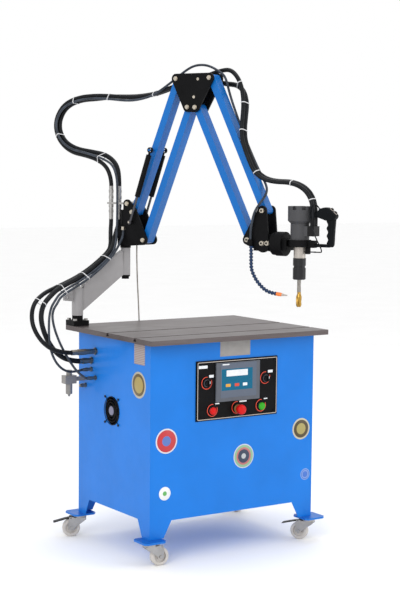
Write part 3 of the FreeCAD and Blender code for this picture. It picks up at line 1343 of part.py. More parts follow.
def make_post():
    """Flange block with its hub and shaft, and the bolts, cap and nut that hold it."""
    x = "post_shift"
    y = "post_setback"
    block = box("flange_block", "flange_side", "flange_side", "flange_thickness", x, y, "table_height")
    shaft = turned("post_shaft", [("0", "0"), ("hub_diameter / 2", "0"), ("hub_diameter / 2", "hub_top - flange_top"),
                                  ("post_diameter / 2", "hub_top - flange_top"),
                                  ("post_diameter / 2", "post_shoulder - flange_top"),
                                  ("post_stud_diameter / 2", "post_shoulder - flange_top"),
                                  ("post_stud_diameter / 2", "post_shoulder - flange_top + post_stud_length"),
                                  ("0", "post_shoulder - flange_top + post_stud_length")], x, y, "flange_top")
    holes = []
    fasteners = []
    for side in (-1, 1):
        for back in (-1, 1):
            at_x = f"{x} + {side} * post_bolt_spacing / 2"
            at_y = f"{y} + {back} * post_bolt_spacing / 2"
            tag = f"{'left' if side < 0 else 'right'}_{'front' if back < 0 else 'rear'}"
            holes.append(rod(f"{tag}_post_hole", "post_bolt_diameter + 2 * running_gap",
                             "flange_thickness + 2 * cut_overrun", at_x, at_y, "table_height - cut_overrun"))
            fasteners.append(fuse(f"{tag}_post_bolt",
                                  rod(f"{tag}_post_shank", "post_bolt_diameter", "flange_thickness", at_x, at_y,
                                      "table_height"),
                                  hexagon(f"{tag}_post_head", "post_bolt_head", "post_bolt_head_height", at_x, at_y,
                                          "flange_top")))
    cap = cut("post_cap", rod("cap_disc", "cap_diameter", "cap_thickness", x, y, "post_shoulder"),
              rod("cap_hole", "post_stud_diameter", "cap_thickness + 2 * cut_overrun", x, y,
                  "post_shoulder - cut_overrun"))
    nut = cut("post_nut", hexagon("nut_blank", "cap_nut_across", "cap_nut_height", x, y,
                                  "post_shoulder + cap_thickness"),
              rod("nut_hole", "post_stud_diameter", "cap_nut_height + 2 * cut_overrun", x, y,
                  "post_shoulder + cap_thickness - cut_overrun"))
    node("pivot_post", [cut("post", fuse("post_blank", block, shaft), *holes)])
    node("post_fasteners", fasteners + [cap, nut])


# Outlines of the swing arm's web and lug, as shares of its length and of its rise between the barrels' lower ends.
WEB_SHARES = ((0.065, 0.09), (0.931, 1.009), (0.91, 1.652), (0.604, 1.381), (0.106, 0.785), (0.102, 0.703),
              (0.065, 0.703))
LUG_SHARES = ((-0.065, 0.711), (-0.282, 0.49), (-0.278, 0.398), (-0.065, 0.361))


def make_swing_arm():
    """One casting: a barrel on the post, a raised barrel for the arm, a sloping web and a lug behind."""
    lower = rod("lower_barrel", "lower_barrel_diameter", "lower_barrel_length")
    upper = rod("upper_barrel", "upper_barrel_diameter", "upper_barrel_length", "swing_length", "0",
                "upper_barrel_bottom - swing_bottom")
    web = prism("swing_web", [(f"{across} * swing_length", f"{up} * barrel_rise") for across, up in WEB_SHARES],
                "swing_web_thickness")
    lug = prism("swing_lug", [(f"{across} * swing_length", f"{up} * barrel_rise") for across, up in LUG_SHARES],
                "lug_thickness")
    bores = [rod("post_bore", "post_diameter + 2 * running_gap", "lower_barrel_length + 2 * cut_overrun",
                 z="-cut_overrun"),
             rod("shaft_bore", "arm_shaft_diameter + 2 * running_gap", "upper_barrel_length + 2 * cut_overrun",
                 "swing_length", "0", "upper_barrel_bottom - swing_bottom - cut_overrun"),
             rod("lug_hole", "lug_hole_diameter", "lug_thickness + 2 * cut_overrun", "-0.2 * swing_length",
                 "-lug_thickness / 2 - cut_overrun", "0.47 * barrel_rise", "y"),
             rod("cap_room", "cap_diameter + 2 * face_gap", "cap_thickness", z="lower_barrel_length"),
             rod("washer_room", "base_washer_diameter + 2 * face_gap", "base_washer_thickness", "swing_length", "0",
                 "upper_barrel_bottom - swing_bottom - base_washer_thickness")]
    arm = cut("swing", fuse("swing_blank", lower, upper, web, lug), *bores)
    node("swing_arm", [arm], x="post_shift", y="post_setback", z="swing_bottom", angle="swing_angle")


def make_arm_base():
    """Turned housing with its block and shaft, two side plates, pivot bolts, spring studs and hose couplers."""
    depth = "arm_floor - upper_barrel_bottom + face_gap + base_washer_thickness + base_nut_height"
    shaft = rod("arm_shaft", "arm_shaft_diameter", depth, z=f"-({depth})")
    disc = rod("thrust_disc", "thrust_disc_diameter", "thrust_disc_height", z="-thrust_disc_height")
    cup = rod("arm_housing", "housing_diameter", "housing_height")
    block = box("arm_block", "block_length", "plate_gap", "block_height", "block_length / 2 - block_back")
    housing = fuse("housing", shaft, disc, cup, block)
    below = "arm_floor - upper_barrel_bottom + face_gap"
    washer = cut("base_washer", rod("washer_disc", "base_washer_diameter", "base_washer_thickness",
                                    z=f"-({below}) - base_washer_thickness"),
                 rod("washer_hole", "arm_shaft_diameter", "base_washer_thickness + 2 * cut_overrun",
                     z=f"-({below}) - base_washer_thickness - cut_overrun"))
    nut = cut("base_nut", hexagon("base_nut_blank", "base_nut_across", "base_nut_height", z=f"-({depth})"),
              rod("base_nut_hole", "arm_shaft_diameter", "base_nut_height + 2 * cut_overrun",
                  z=f"-({depth}) - cut_overrun"))
    corners = [("plate_foot_reach", "plate_foot_rise", "plate_foot_rise"),
               ("lower_base_x", "lower_base_z", "lower_pivot_round"),
               ("base_pivot_reach", "base_pivot_rise", "upper_pivot_round"),
               ("ear_reach", "ear_rise", "ear_round")]
    holes = [("base_pivot_reach", "base_pivot_rise"), ("lower_base_x", "lower_base_z"), ("ear_reach", "ear_rise")]
    bore = "pivot_diameter + 2 * running_gap"
    plates = [rounded_plate("front_base_plate", corners, "plate_thickness", "-plate_outside", holes, bore),
              rounded_plate("rear_base_plate", corners, "plate_thickness", "plate_face", holes, bore)]
    arm_node("arm_base_bracket", [housing, washer, nut] + plates)

    bolts = []
    for name, (x, z) in zip(("upper_base", "lower_base", "ear"), holes):
        bolts += through_bolt(name + "_bolt", x, z, "plate_outside")
    bolts.append(box("sensor_gland", "sensor_gland_side", "sensor_gland_side", "sensor_gland_length",
                     "sensor_gland_reach", "-plate_outside - sensor_gland_side / 2", "sensor_gland_rise"))
    for side, tag in ((-1, "front"), (1, "rear")):
        start = "plate_outside" if side > 0 else "-(gas_spacing / 2 + gas_stud_reach)"
        bolts.append(rod(f"{tag}_foot_stud", "gas_stud_diameter",
                         "gas_spacing / 2 + gas_stud_reach - plate_outside",
                         "gas_foot_reach", start, "gas_foot_rise", "y"))
    arm_node("arm_base_bolts", bolts)

    couplers = []
    for tag in ("left", "right"):
        x = f"{tag}_coupler_reach"
        wide = f"{tag}_coupler_diameter"
        tube = rod(f"{tag}_coupler_tube", wide, "coupler_length", x, "0", "coupler_rise")
        steps = [rod(f"{tag}_coupler_step_{order}", f"{wide} + sheet_thickness", "coupler_length / 12", x, "0",
                     f"coupler_rise + coupler_length * {share}")
                 for order, share in enumerate((0.2, 0.36, 0.62, 0.8))]
        couplers.append(fuse(f"{tag}_coupler", tube, *steps))
    clip_start = "left_coupler_reach - clip_end"
    length = f"ear_reach - ({clip_start})"
    level = "ear_rise - clip_thickness / 2"
    bar = box("clip_bar", length, "clip_width", "clip_thickness", f"({clip_start} + ear_reach) / 2", "0", level)
    boss = rod("clip_boss", "clip_boss_diameter", "plate_gap", "ear_reach", "-plate_face", "ear_rise", "y")
    holes = [rod(f"clip_hole_{tag}", f"{tag}_coupler_diameter", "clip_thickness + 2 * cut_overrun",
                 f"{tag}_coupler_reach", "0", f"{level} - cut_overrun") for tag in ("left", "right")]
    holes.append(rod("clip_boss_hole", "pivot_diameter + 2 * running_gap", "plate_gap + 2 * cut_overrun",
                     "ear_reach", "-plate_face - cut_overrun", "ear_rise", "y"))
    arm_node("hose_couplers", couplers + [cut("coupler_clip", fuse("clip_blank", bar, boss), *holes)])


def link_parts(name, length, extra=()):
    """A square tube between two end blocks whose bosses fill the gap between the plates."""
    tube_start = "end_block_length"
    tube_length = f"{length} - 2 * end_block_length"
    flat = "tube_depth / 2"
    tube = cut(f"{name}_tube",
               box(f"{name}_outer", tube_length, "tube_width", "tube_depth", f"{length} / 2", "0", f"-{flat}"),
               box(f"{name}_inner", f"{tube_length} + 2 * cut_overrun", "tube_width - 2 * tube_wall",
                   "tube_depth - 2 * tube_wall", f"{length} / 2", "0", f"-{flat} + tube_wall"))
    boss = "plate_gap - 2 * face_gap"
    blocks = []
    for end in ("near", "far"):
        x = "0" if end == "near" else length
        block_x = "end_block_length / 2" if end == "near" else f"{length} - end_block_length / 2"
        spigot_x = ("end_block_length + spigot_length / 2" if end == "near"
                    else f"{length} - end_block_length - spigot_length / 2")
        block = fuse(f"{name}_{end}_blank",
                     box(f"{name}_{end}_body", "end_block_length", "tube_width", "tube_depth", block_x, "0",
                         f"-{flat}"),
                     rod(f"{name}_{end}_round", "tube_depth", "tube_width", x, "-tube_width / 2", "0", "y"),
                     rod(f"{name}_{end}_boss", "link_boss_diameter", boss, x, f"-({boss}) / 2", "0", "y"),
                     box(f"{name}_{end}_spigot", "spigot_length", "tube_width - 2 * tube_wall",
                         "tube_depth - 2 * tube_wall", spigot_x, "0", f"-{flat} + tube_wall"))
        bore = rod(f"{name}_{end}_bore", "pivot_diameter + 2 * running_gap", f"{boss} + 2 * cut_overrun", x,
                   f"-({boss}) / 2 - cut_overrun", "0", "y")
        blocks.append(cut(f"{name}_{end}_block", block, bore))
    return [tube] + blocks + list(extra)


def make_links():
    """Four links, each drawn along x and turned to the angle at which the arm stands."""
    stud = rod("gas_top_stud", "gas_stud_diameter", "gas_spacing / 2 + gas_stud_reach - tube_width / 2",
               "gas_eye_along_link", "tube_width / 2", "0", "y")
    other = rod("gas_top_stud_front", "gas_stud_diameter", "gas_spacing / 2 + gas_stud_reach - tube_width / 2",
                "gas_eye_along_link", "-(gas_spacing / 2 + gas_stud_reach)", "0", "y")
    for name, x, z, length, angle, extra in (
            ("lower_link_a", "base_pivot_reach", "base_pivot_rise", "lower_link_length", "lower_link_angle",
             (stud, other)),
            ("lower_link_b", "lower_base_x", "lower_base_z", "lower_link_length", "lower_link_angle", ()),
            ("upper_link_c", "far_elbow_x", "elbow_z", "upper_link_length", "upper_link_angle", ()),
            ("upper_link_d", "far_low_x", "far_low_z", "upper_link_length", "upper_link_angle", ())):
        leaning = group(name + "_leaning", link_parts(name, length, extra), x=x, z=z, angle=angle, about=ACROSS)
        arm_node(name, [leaning])


def make_gas_springs():
    """Two gas springs beside the lower link: rods with their lower eyes, cylinders with their open upper eyes."""
    rods = []
    cylinders = []
    for side, tag in ((-1, "front"), (1, "rear")):
        y = f"{side} * gas_spacing / 2"
        eye_y = f"{y} - gas_eye_width / 2"
        eye = rod(f"{tag}_rod_eye", "gas_eye_diameter", "gas_eye_width", "0", eye_y, "0", "y")
        bar = rod(f"{tag}_rod_bar", "gas_rod_diameter", "gas_rod_length", "0", y, "0", "x")
        hole = rod(f"{tag}_rod_hole", "gas_stud_diameter + 2 * running_gap", "gas_eye_width + 2 * cut_overrun", "0",
                   f"{eye_y} - cut_overrun", "0", "y")
        rods.append(cut(f"{tag}_gas_rod", fuse(f"{tag}_rod_blank", eye, bar), hole))
        case = rod(f"{tag}_case", "gas_cylinder_diameter", "gas_cylinder_end - gas_cylinder_start",
                   "gas_cylinder_start", y, "0", "x")
        neck = rod(f"{tag}_case_neck", "gas_rod_diameter", "gas_cylinder_end_gap", "gas_cylinder_end", y, "0", "x")
        top = rod(f"{tag}_case_eye", "gas_top_eye_diameter", "gas_eye_width", "gas_length", eye_y, "0", "y")
        bore = rod(f"{tag}_case_bore", "gas_rod_diameter + 2 * running_gap", "gas_bore_length + cut_overrun",
                   "gas_cylinder_start - cut_overrun", y, "0", "x")
        slack = rod(f"{tag}_case_hole", "gas_stud_diameter + 2 * gas_top_slack", "gas_eye_width + 2 * cut_overrun",
                    "gas_length", f"{eye_y} - cut_overrun", "0", "y")
        cylinders.append(cut(f"{tag}_gas_cylinder", fuse(f"{tag}_case_blank", case, neck, top), bore, slack))
    for name, parts in (("gas_rods", rods), ("gas_cylinders", cylinders)):
        leaning = group(name + "_leaning", parts, x="gas_foot_reach", z="gas_foot_rise", angle="gas_angle",
                        about=ACROSS)
        arm_node(name, [leaning])


def make_elbow():
    """Two elbow plates with four pivot bolts, and two spacers between the plates on riveted pins."""
    pivots = [("low_elbow_x", "low_elbow_z"), ("far_low_x", "far_low_z"), ("far_elbow_x", "elbow_z"),
              ("elbow_x", "elbow_z")]
    corners = [(x, z, "elbow_round") for x, z in pivots]
    low = ("elbow_x + low_spacer_reach", "elbow_z - low_spacer_drop")
    high = ("elbow_x + high_spacer_reach", "elbow_z - high_spacer_drop")
    bore = "pivot_diameter + 2 * running_gap"
    holes = pivots + [low, high]
    plates = [rounded_plate("front_elbow_plate", corners, "plate_thickness", "-plate_outside", holes, bore),
              rounded_plate("rear_elbow_plate", corners, "plate_thickness", "plate_face", holes, bore)]
    spacers = []
    for name, (x, z) in (("low_spacer", low), ("high_spacer", high)):
        spacers.append(cut(name, rod(name + "_tube", "spacer_diameter", "plate_gap", x, "-plate_face", z, "y"),
                           rod(name + "_hole", bore, "plate_gap + 2 * cut_overrun", x, "-plate_face - cut_overrun",
                               z, "y")))
    arm_node("elbow_plates", plates + spacers)
    bolts = [rod(f"{name}_pin", bore, "2 * plate_outside", x, "-plate_outside", z, "y")
             for name, (x, z) in (("low_spacer", low), ("high_spacer", high))]
    for order, (x, z) in enumerate(pivots):
        bolts += through_bolt(f"elbow_bolt_{order}", x, z, "plate_outside")
    arm_node("elbow_bolts", bolts)


def make_head_bracket():
    """Two head plates round the knuckle, whose fixed disc and pin carry the tilting tool holder."""
    pivots = [("head_x", "head_z"), ("low_head_x", "low_head_z")]
    corners = [("low_head_x", "low_head_z", "head_round"), ("knuckle_x", "knuckle_z", "knuckle_round"),
               ("head_x", "head_z", "head_round")]
    bore = "pivot_diameter + 2 * running_gap"
    screws = [("knuckle_x + first_screw_reach", "knuckle_z + first_screw_rise"),
              ("knuckle_x + second_screw_reach", "knuckle_z + second_screw_rise")]
    holes = pivots + screws
    plates = [rounded_plate("front_head_plate", corners, "plate_thickness", "-plate_outside", holes, bore),
              rounded_plate("rear_head_plate", corners, "plate_thickness", "plate_face", holes, bore)]
    bolts = []
    for order, (x, z) in enumerate(holes):
        bolts += through_bolt(f"head_bolt_{order}", x, z, "plate_outside")
    arm_node("head_plates", plates + bolts)

    height = "knuckle_bottom + knuckle_top"
    block = box("knuckle_block", "knuckle_back + knuckle_front", "plate_gap", height,
                "knuckle_x + (knuckle_front - knuckle_back) / 2", "0", "knuckle_z - knuckle_bottom")
    disc = rod("fixed_disc", "fixed_disc_diameter", "fixed_disc_length", "fixed_disc_x", "0", "tilt_z", "x")
    pin = rod("tilt_pin", "tilt_pin_diameter", "tilt_pin_length", "fixed_face_x", "0", "tilt_z", "x")
    drills = [rod(f"screw_drill_{order}", bore, "plate_gap + 2 * cut_overrun", x, "-plate_face - cut_overrun", z,
                  "y") for order, (x, z) in enumerate(screws)]
    arm_node("head_knuckle", [cut("knuckle", fuse("knuckle_blank", block, disc, pin), *drills)])


def make_coolant_line():
    """Coolant valve on the head plate, its jointed hose and its nozzle."""
    x = "head_x - coolant_valve_back"
    z = "head_z - coolant_valve_drop"
    front = "-plate_outside - valve_width"
    body = box("valve_body", "valve_length", "valve_width", "coolant_valve_height", x,
               "-plate_outside - valve_width / 2", f"{z}")
    lever = rod("valve_tap", "valve_tap_diameter", "valve_tap_length", x, f"{front} - valve_tap_length",
                f"{z} + coolant_valve_height / 2", "y")
    route = arm_route(NOZZLE_HOSE)
    line = jointed_hose("nozzle_hose", route, number("jointed_hose_diameter") / 2,
                        number("jointed_hose_waist") / 2, number("jointed_hose_bore") / 2)
    end = Vector(*route[-1])
    way = end - Vector(*route[-2])
    way.normalize()
    nozzle = document.addObject("Part::Feature", "nozzle")
    nozzle.Shape = Part.makeCone(number("jointed_hose_diameter") / 2, number("nozzle_tip_diameter") / 2,
                                 number("nozzle_length"), end, way)
    arm_node("coolant_line", [fuse("coolant_valve", body, lever), line, nozzle])


def make_tool():
    """Tilting holder, motor with its castellated cap and ports, handle, thumb buttons, spindle, chuck and tap."""
    middle = "tilt_disc_start"
    disc = rod("tilt_disc", "tilt_disc_diameter", "tilt_disc_length", middle, along="x")
    neck = box("neck", "neck_length + cut_overrun", "neck_width", "neck_bottom + neck_top",
               "tilt_disc_end + (neck_length - cut_overrun) / 2", "0", "-neck_bottom")
    ring = rod("ring", "ring_diameter", "ring_bottom + ring_top", z="-ring_bottom")
    pin_bore = rod("pin_bore", "tilt_pin_diameter + 2 * running_gap", "tilt_pin_length + face_gap + cut_overrun",
                   f"{middle} - face_gap - cut_overrun", along="x")
    shaft_bore = rod("spindle_bore", "spindle_shaft_diameter + 2 * running_gap",
                     "ring_bottom + ring_top + 2 * cut_overrun", z="-ring_bottom - cut_overrun")
    tool_node("tool_holder", [cut("holder", fuse("holder_blank", disc, neck, ring), pin_bore, shaft_bore)])

    body = rod("motor_body", "body_diameter", "body_height", z="motor_bottom")
    port = box("port_block", "port_reach", "port_width", "port_top - port_bottom", "port_reach / 2", "0",
               "port_bottom")
    ferrules = [rod(f"ferrule_{side}", "ferrule_diameter", "ferrule_height", "ferrule_reach",
                    f"{side} * ferrule_spacing / 2", "port_top") for side in (-1, 1)]
    cavity = rod("motor_socket", "spindle_shaft_diameter + 2 * running_gap",
                 "spindle_shaft_length + cut_overrun", z="motor_bottom - cut_overrun")
    motor = cut("motor_case_body", fuse("motor_blank", body, port, *ferrules), cavity)
    radius = "motor_cap_diameter / 2"
    cap = turned("motor_cap", [("0", "0"), (f"{radius} - motor_cap_chamfer", "0"), (radius, "motor_cap_chamfer"),
                               (radius, "motor_cap_height"), ("0", "motor_cap_height")], z="cap_bottom")
    ring_cut = []
    for order in range(SIZES["notch_count"] // 2):
        slot = box(f"notch_{order}", "motor_cap_diameter + 2 * cut_overrun", "notch_width",
                   "notch_depth + cut_overrun", z="cap_top - notch_depth")
        ring_cut.append(group(f"notch_turned_{order}", [slot], angle=f"{order} * 360 / {SIZES['notch_count']}"))
    keep = rod("cap_core", "notch_floor_diameter", "notch_depth", z="cap_top - notch_depth")
    dish = rod("cap_dish", "notch_floor_diameter - 2 * tube_wall", "notch_depth / 2 + cut_overrun",
               z="cap_top - notch_depth / 2")
    cap = cut("castellated_cap", fuse("cap_joined", cut("cap_notched", cap, *ring_cut), keep), dish)
    tool_node("motor", [motor, cap])

    spin_shaft = rod("spindle_shaft", "spindle_shaft_diameter", "spindle_shaft_length + face_gap",
                     z="-ring_bottom - face_gap")
    nose = rod("spindle_nose", "spindle_diameter", "spindle_length", z="spindle_bottom")
    groove = "chuck_groove_diameter / 2"
    wide = "chuck_diameter / 2"
    chuck = turned("chuck", [("shank_diameter / 2", "0"), (f"{wide} - sheet_thickness", "0"),
                             (wide, "sheet_thickness"), (wide, "0.55 * chuck_length"),
                             (groove, "0.55 * chuck_length"), (groove, "0.65 * chuck_length"),
                             (wide, "0.65 * chuck_length"), (wide, "chuck_length"), ("0", "chuck_length"),
                             ("0", "chuck_socket_depth"), ("shank_diameter / 2", "chuck_socket_depth")],
                   z="chuck_bottom")
    tool_node("spindle", [fuse("spindle_body", spin_shaft, nose), chuck])

    shank = rod("tap_shank", "shank_diameter", "shank_showing + chuck_socket_depth", z="shank_bottom")
    thread = rod("tap_thread", "tap_diameter", "tap_length - tap_tip_length", z="shank_bottom - tap_length + tap_tip_length")
    tip = cone("tap_tip", "tap_tip_diameter", "tap_diameter", "tap_tip_length", z="shank_bottom - tap_length")
    flutes = []
    for order in range(4):
        flute = rod(f"flute_{order}", "flute_diameter", "tap_length + cut_overrun",
                    "tap_diameter / 2 + flute_diameter / 6", "0", "shank_bottom - tap_length - cut_overrun")
        flutes.append(group(f"flute_turned_{order}", [flute], angle=f"{order} * 90 + 45"))
    tool_node("tap", [cut("tap_cutter", fuse("tap_blank", shank, thread, tip), *flutes)])


# Underside and back of the grip's head, as shares of the grip's length and the height of its top over the grip.
HEAD_UNDER_SHARES = ((-1.36, 0.22), (0.0, 0.0), (1.0, 0.05))
HEAD_BACK_SHARES = ((-0.5, 1.0), (-1.5, 0.5))


def make_handle():
    """Handle: a block on the holder's ring, a bar, a grip with finger grooves and a slanted head with buttons."""
    ring = rod("ring_seat", "ring_diameter", "handle_block_top + handle_block_bottom + 2 * cut_overrun",
               z="-handle_block_bottom - cut_overrun")
    block = cut("handle_block", box("handle_block_blank", "handle_block_reach", "handle_block_width",
                                    "handle_block_bottom + handle_block_top", "handle_block_reach / 2", "0",
                                    "-handle_block_bottom"), ring)
    bar = box("handle_bar", "grip_start + grip_length / 2 - handle_block_reach", "handle_bar_width",
              "handle_bar_height", "(grip_start + grip_length / 2 + handle_block_reach) / 2", "0",
              "handle_bar_rise")
    grip = box("grip_blank", "grip_length", "grip_width", "grip_top - grip_bottom", "grip_start + grip_length / 2",
               "0", "grip_bottom")
    grooves = [rod(f"finger_{order}", "finger_diameter", "grip_width + 2 * cut_overrun",
                   "grip_start + finger_depth - finger_diameter / 2", "-grip_width / 2 - cut_overrun",
                   f"grip_bottom + (grip_top - grip_bottom) * {0.3 + 0.2 * order:.1f}", "y") for order in range(4)]
    under, back = ([(f"grip_start + {across} * grip_length", f"grip_top + {up} * (grip_head_top - grip_top)")
                    for across, up in shares] for shares in (HEAD_UNDER_SHARES, HEAD_BACK_SHARES))
    head = prism("grip_head", under + [("thumb_face_end", "thumb_face_foot"), ("thumb_face_start", "grip_head_top")]
                 + back, "grip_head_width")
    stems = [on_thumb_face(f"{tag}_thumb_way", tag, rod(f"{tag}_thumb_bore", "thumb_stem_diameter + 2 * running_gap",
                                                        "thumb_stem_length + thumb_travel + 2 * cut_overrun",
                                                        z="-thumb_stem_length - thumb_travel"))
             for tag in ("near", "far")]
    gland = group("lead_gland_leaning", [rod("lead_gland", "lead_gland_diameter", "lead_gland_length")],
                  "lead_gland_reach", "0", "lead_gland_rise", "-lead_gland_tilt", Vector(0, 1, 0))
    lever_x = "ring_diameter / 2 - lever_block_side / 2"
    lever = fuse("clamp_lever",
                 box("lever_block", "lever_block_side", "lever_block_side", "lever_block_height", lever_x, "0",
                     "-ring_bottom - lever_block_height"),
                 rod("lever_rod", "lever_diameter", "lever_length", lever_x, "0", "-ring_bottom - lever_drop", "x"))
    handle = cut("handle_body", fuse("handle_blank", block, bar, cut("grip", grip, *grooves), head, gland), *stems)
    tool_node("handle", [handle, lever])
    for tag in ("near", "far"):
        button = fuse(f"{tag}_thumb",
                      rod(f"{tag}_thumb_cap", "thumb_button_diameter", "thumb_button_height",
                          z="thumb_travel + face_gap"),
                      rod(f"{tag}_thumb_stem", "thumb_stem_diameter", "thumb_stem_length",
                          z="thumb_travel + face_gap - thumb_stem_length"))
        tool_node(f"thumb_button_{tag}", [on_thumb_face(f"{tag}_thumb_leaning", tag, button)])


def on_thumb_face(name, tag, piece):
    """A piece drawn on its own foot, stood on the slanting face of the grip's head at one thumb button's place."""
    return group(name, [piece], f"thumb_face_start + {tag}_thumb_share * (thumb_face_end - thumb_face_start)", "0",
                 f"grip_head_top - {tag}_thumb_share * (grip_head_top - thumb_face_foot)", "thumb_face_tilt",
                 Vector(0, 1, 0))


def make_hoses():
    """Pressure, return, coolant and sensor lines, cut where they are tied to the next moving part."""
    pressure = "pressure_hose_diameter"
    back = "return_hose_diameter"
    thin = "thin_hose_diameter"
    node("hoses_cabinet", [hose("pressure_to_arm", PRESSURE_TO_ARM, pressure),
                           hose("return_to_arm", RETURN_TO_ARM, back),
                           hose("coolant_to_arm", COOLANT_TO_ARM, thin),
                           hose("sensor_to_arm", SENSOR_TO_ARM, thin),
                           hose("earth_lead", EARTH_LEAD, "earth_lead_diameter")])
    node("hoses_swing", [hose("pressure_to_coupler", PRESSURE_TO_COUPLER, pressure),
                         hose("return_to_coupler", RETURN_TO_COUPLER, back),
                         hose("coolant_past_coupler", COOLANT_PAST_COUPLER, thin),
                         hose("sensor_to_base", SENSOR_TO_BASE, thin),
                         hose("earth_to_base", EARTH_TO_BASE, "earth_lead_diameter")])
    arm_node("hoses_lower", [hose("pressure_lower", arm_route(PRESSURE_LOWER), pressure),
                             hose("return_lower", arm_route(RETURN_LOWER), back),
                             hose("coolant_lower", arm_route(COOLANT_LOWER), thin)])
    arm_node("hoses_elbow", [hose("pressure_elbow", arm_route(PRESSURE_ELBOW), pressure),
                             hose("return_elbow", arm_route(RETURN_ELBOW), back),
                             hose("coolant_elbow", arm_route(COOLANT_ELBOW), thin)])
    arm_node("hoses_upper", [hose("pressure_upper", arm_route(PRESSURE_UPPER), pressure),
                             hose("return_upper", arm_route(RETURN_UPPER), back),
                             hose("coolant_upper", arm_route(COOLANT_UPPER), thin)])
    arm_node("hoses_head", [hose("pressure_head", arm_route(PRESSURE_HEAD), pressure),
                            hose("return_head", arm_route(RETURN_HEAD), back)])
    arm_node("handle_lead", [hose("button_lead", arm_route(BUTTON_LEAD), "button_lead_diameter")])


def check_document():
    """Stop if any object failed, before anything is written."""
    document.recompute()
    for item in document.Objects:
        if "Invalid" in item.State or "Error" in item.State:
            raise RuntimeError(f"{item.Name} did not compute: {item.State}")
    for piece in NODES:
        if piece.Shape.isNull() or not piece.Shape.isValid() or not piece.Shape.Solids:
            raise RuntimeError(f"{piece.Label} has no valid shape")


def write_parts():
    """Write each node's solids to a file of its own."""
    os.makedirs("parts", exist_ok=True)
    for piece in NODES:
        piece.Shape.exportStep(os.path.join("parts", piece.Label + ".step"))
        volume = piece.Shape.Volume / 1000
        print(f"{piece.Label}: {len(piece.Shape.Solids)} solids, {volume:.1f} cm3")
    print(f"{len(NODES)} nodes")


for make in (make_table, make_cabinet, make_hydraulics, make_casters, make_panel, make_controls, make_plates,
             make_fan, make_fittings, make_post, make_swing_arm, make_arm_base, make_links, make_gas_springs,
             make_elbow, make_head_bracket, make_coolant_line, make_tool, make_handle, make_hoses):
    make()
check_document()
write_parts()
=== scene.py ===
"""Arm tapping machine: surfaces, hoses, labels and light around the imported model.

Metres. X runs along the front to the right, Y to the back, Z up, with the origin on the floor under the cabinet.
Every new piece is a surface worked out on a grid, or a profile carried along a path."""

import json
import math

import bmesh
import bpy
import numpy as np
from mathutils import Matrix, Vector


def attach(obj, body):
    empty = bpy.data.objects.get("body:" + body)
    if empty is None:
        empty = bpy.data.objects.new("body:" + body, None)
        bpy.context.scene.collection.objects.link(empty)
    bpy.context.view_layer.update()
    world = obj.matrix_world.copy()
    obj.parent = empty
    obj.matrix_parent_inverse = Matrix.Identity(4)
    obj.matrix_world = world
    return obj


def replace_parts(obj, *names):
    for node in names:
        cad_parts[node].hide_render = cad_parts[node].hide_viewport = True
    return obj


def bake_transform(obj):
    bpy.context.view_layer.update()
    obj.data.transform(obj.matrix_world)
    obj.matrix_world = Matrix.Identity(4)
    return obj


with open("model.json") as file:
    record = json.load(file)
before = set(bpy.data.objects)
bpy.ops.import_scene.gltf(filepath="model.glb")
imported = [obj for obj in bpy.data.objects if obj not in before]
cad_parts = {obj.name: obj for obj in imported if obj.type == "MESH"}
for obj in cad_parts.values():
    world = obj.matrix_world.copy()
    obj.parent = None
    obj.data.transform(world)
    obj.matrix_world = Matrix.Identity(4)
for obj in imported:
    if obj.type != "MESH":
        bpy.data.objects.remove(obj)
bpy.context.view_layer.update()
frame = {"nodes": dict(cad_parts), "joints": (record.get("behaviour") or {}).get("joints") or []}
joints = {joint["name"]: joint for joint in frame["joints"]}

# The arm's own frame: reach from its pivot, way across its plates, and up from its floor.
REACH = np.array(joints["head_tilt"]["axis"])
ACROSS = -np.array(joints["lower_lift"]["axis"])
UP = np.array([0.0, 0.0, 1.0])
BASE_PIVOT_RISE = 0.145
ARM_FOOT = np.array([*joints["arm_swing"]["pos_m"][:2], joints["lower_lift"]["pos_m"][2] - BASE_PIVOT_RISE])
TOOL_AXIS = np.array(joints["spindle_spin"]["pos_m"])


def arm_points(points, foot=ARM_FOOT):
    """Points of the arm's frame, as places in the room: foot plus reach, across and up times their directions."""
    reach, across, rise = np.moveaxis(np.asarray(points, float)[..., None], -2, 0)
    return foot + reach * REACH + across * ACROSS + rise * UP


def tool_points(points):
    """Points round the spindle's axis, as places in the room."""
    return arm_points(points, TOOL_AXIS)


def added(name, data):
    """A new object in the scene."""
    thing = bpy.data.objects.new(name, data)
    bpy.context.scene.collection.objects.link(thing)
    return thing


# Shapes on grids.


def grid_of(x, y, z):
    """Three coordinates, spread to one size, as the points of a grid."""
    return np.stack(np.broadcast_arrays(x, y, z), axis=-1)


def piece_from_grid(name, grid, round_ends=False, closed_along=False, crease=40):
    """A mesh whose vertices are the grid's points, with quads between neighbours in both directions.

    Rows lie along the piece and columns go round it; open ends can be closed by one face each. Its faces look outwards
    and are smooth below the crease angle."""
    rows, columns = grid.shape[:2]
    index = np.arange(rows * columns).reshape(rows, columns)
    along = index if closed_along else index[:-1]
    ahead = np.roll(index, -1, axis=0) if closed_along else index[1:]
    quads = np.stack([along, np.roll(along, -1, axis=1), np.roll(ahead, -1, axis=1), ahead], axis=-1)
    faces = quads.reshape(-1, 4).tolist()
    if round_ends:
        faces += [index[0].tolist(), index[-1][::-1].tolist()]
    mesh = bpy.data.meshes.new(name)
    mesh.from_pydata(grid.reshape(-1, 3).tolist(), [], faces)
    work = bmesh.new()
    work.from_mesh(mesh)
    bmesh.ops.remove_doubles(work, verts=work.verts, dist=1e-7)
    bmesh.ops.recalc_face_normals(work, faces=work.faces)
    work.to_mesh(mesh)
    work.free()
    mesh.polygons.foreach_set("use_smooth", np.ones(len(mesh.polygons), bool))
    mesh.set_sharp_from_angle(angle=math.radians(crease))
    return added(name, mesh)


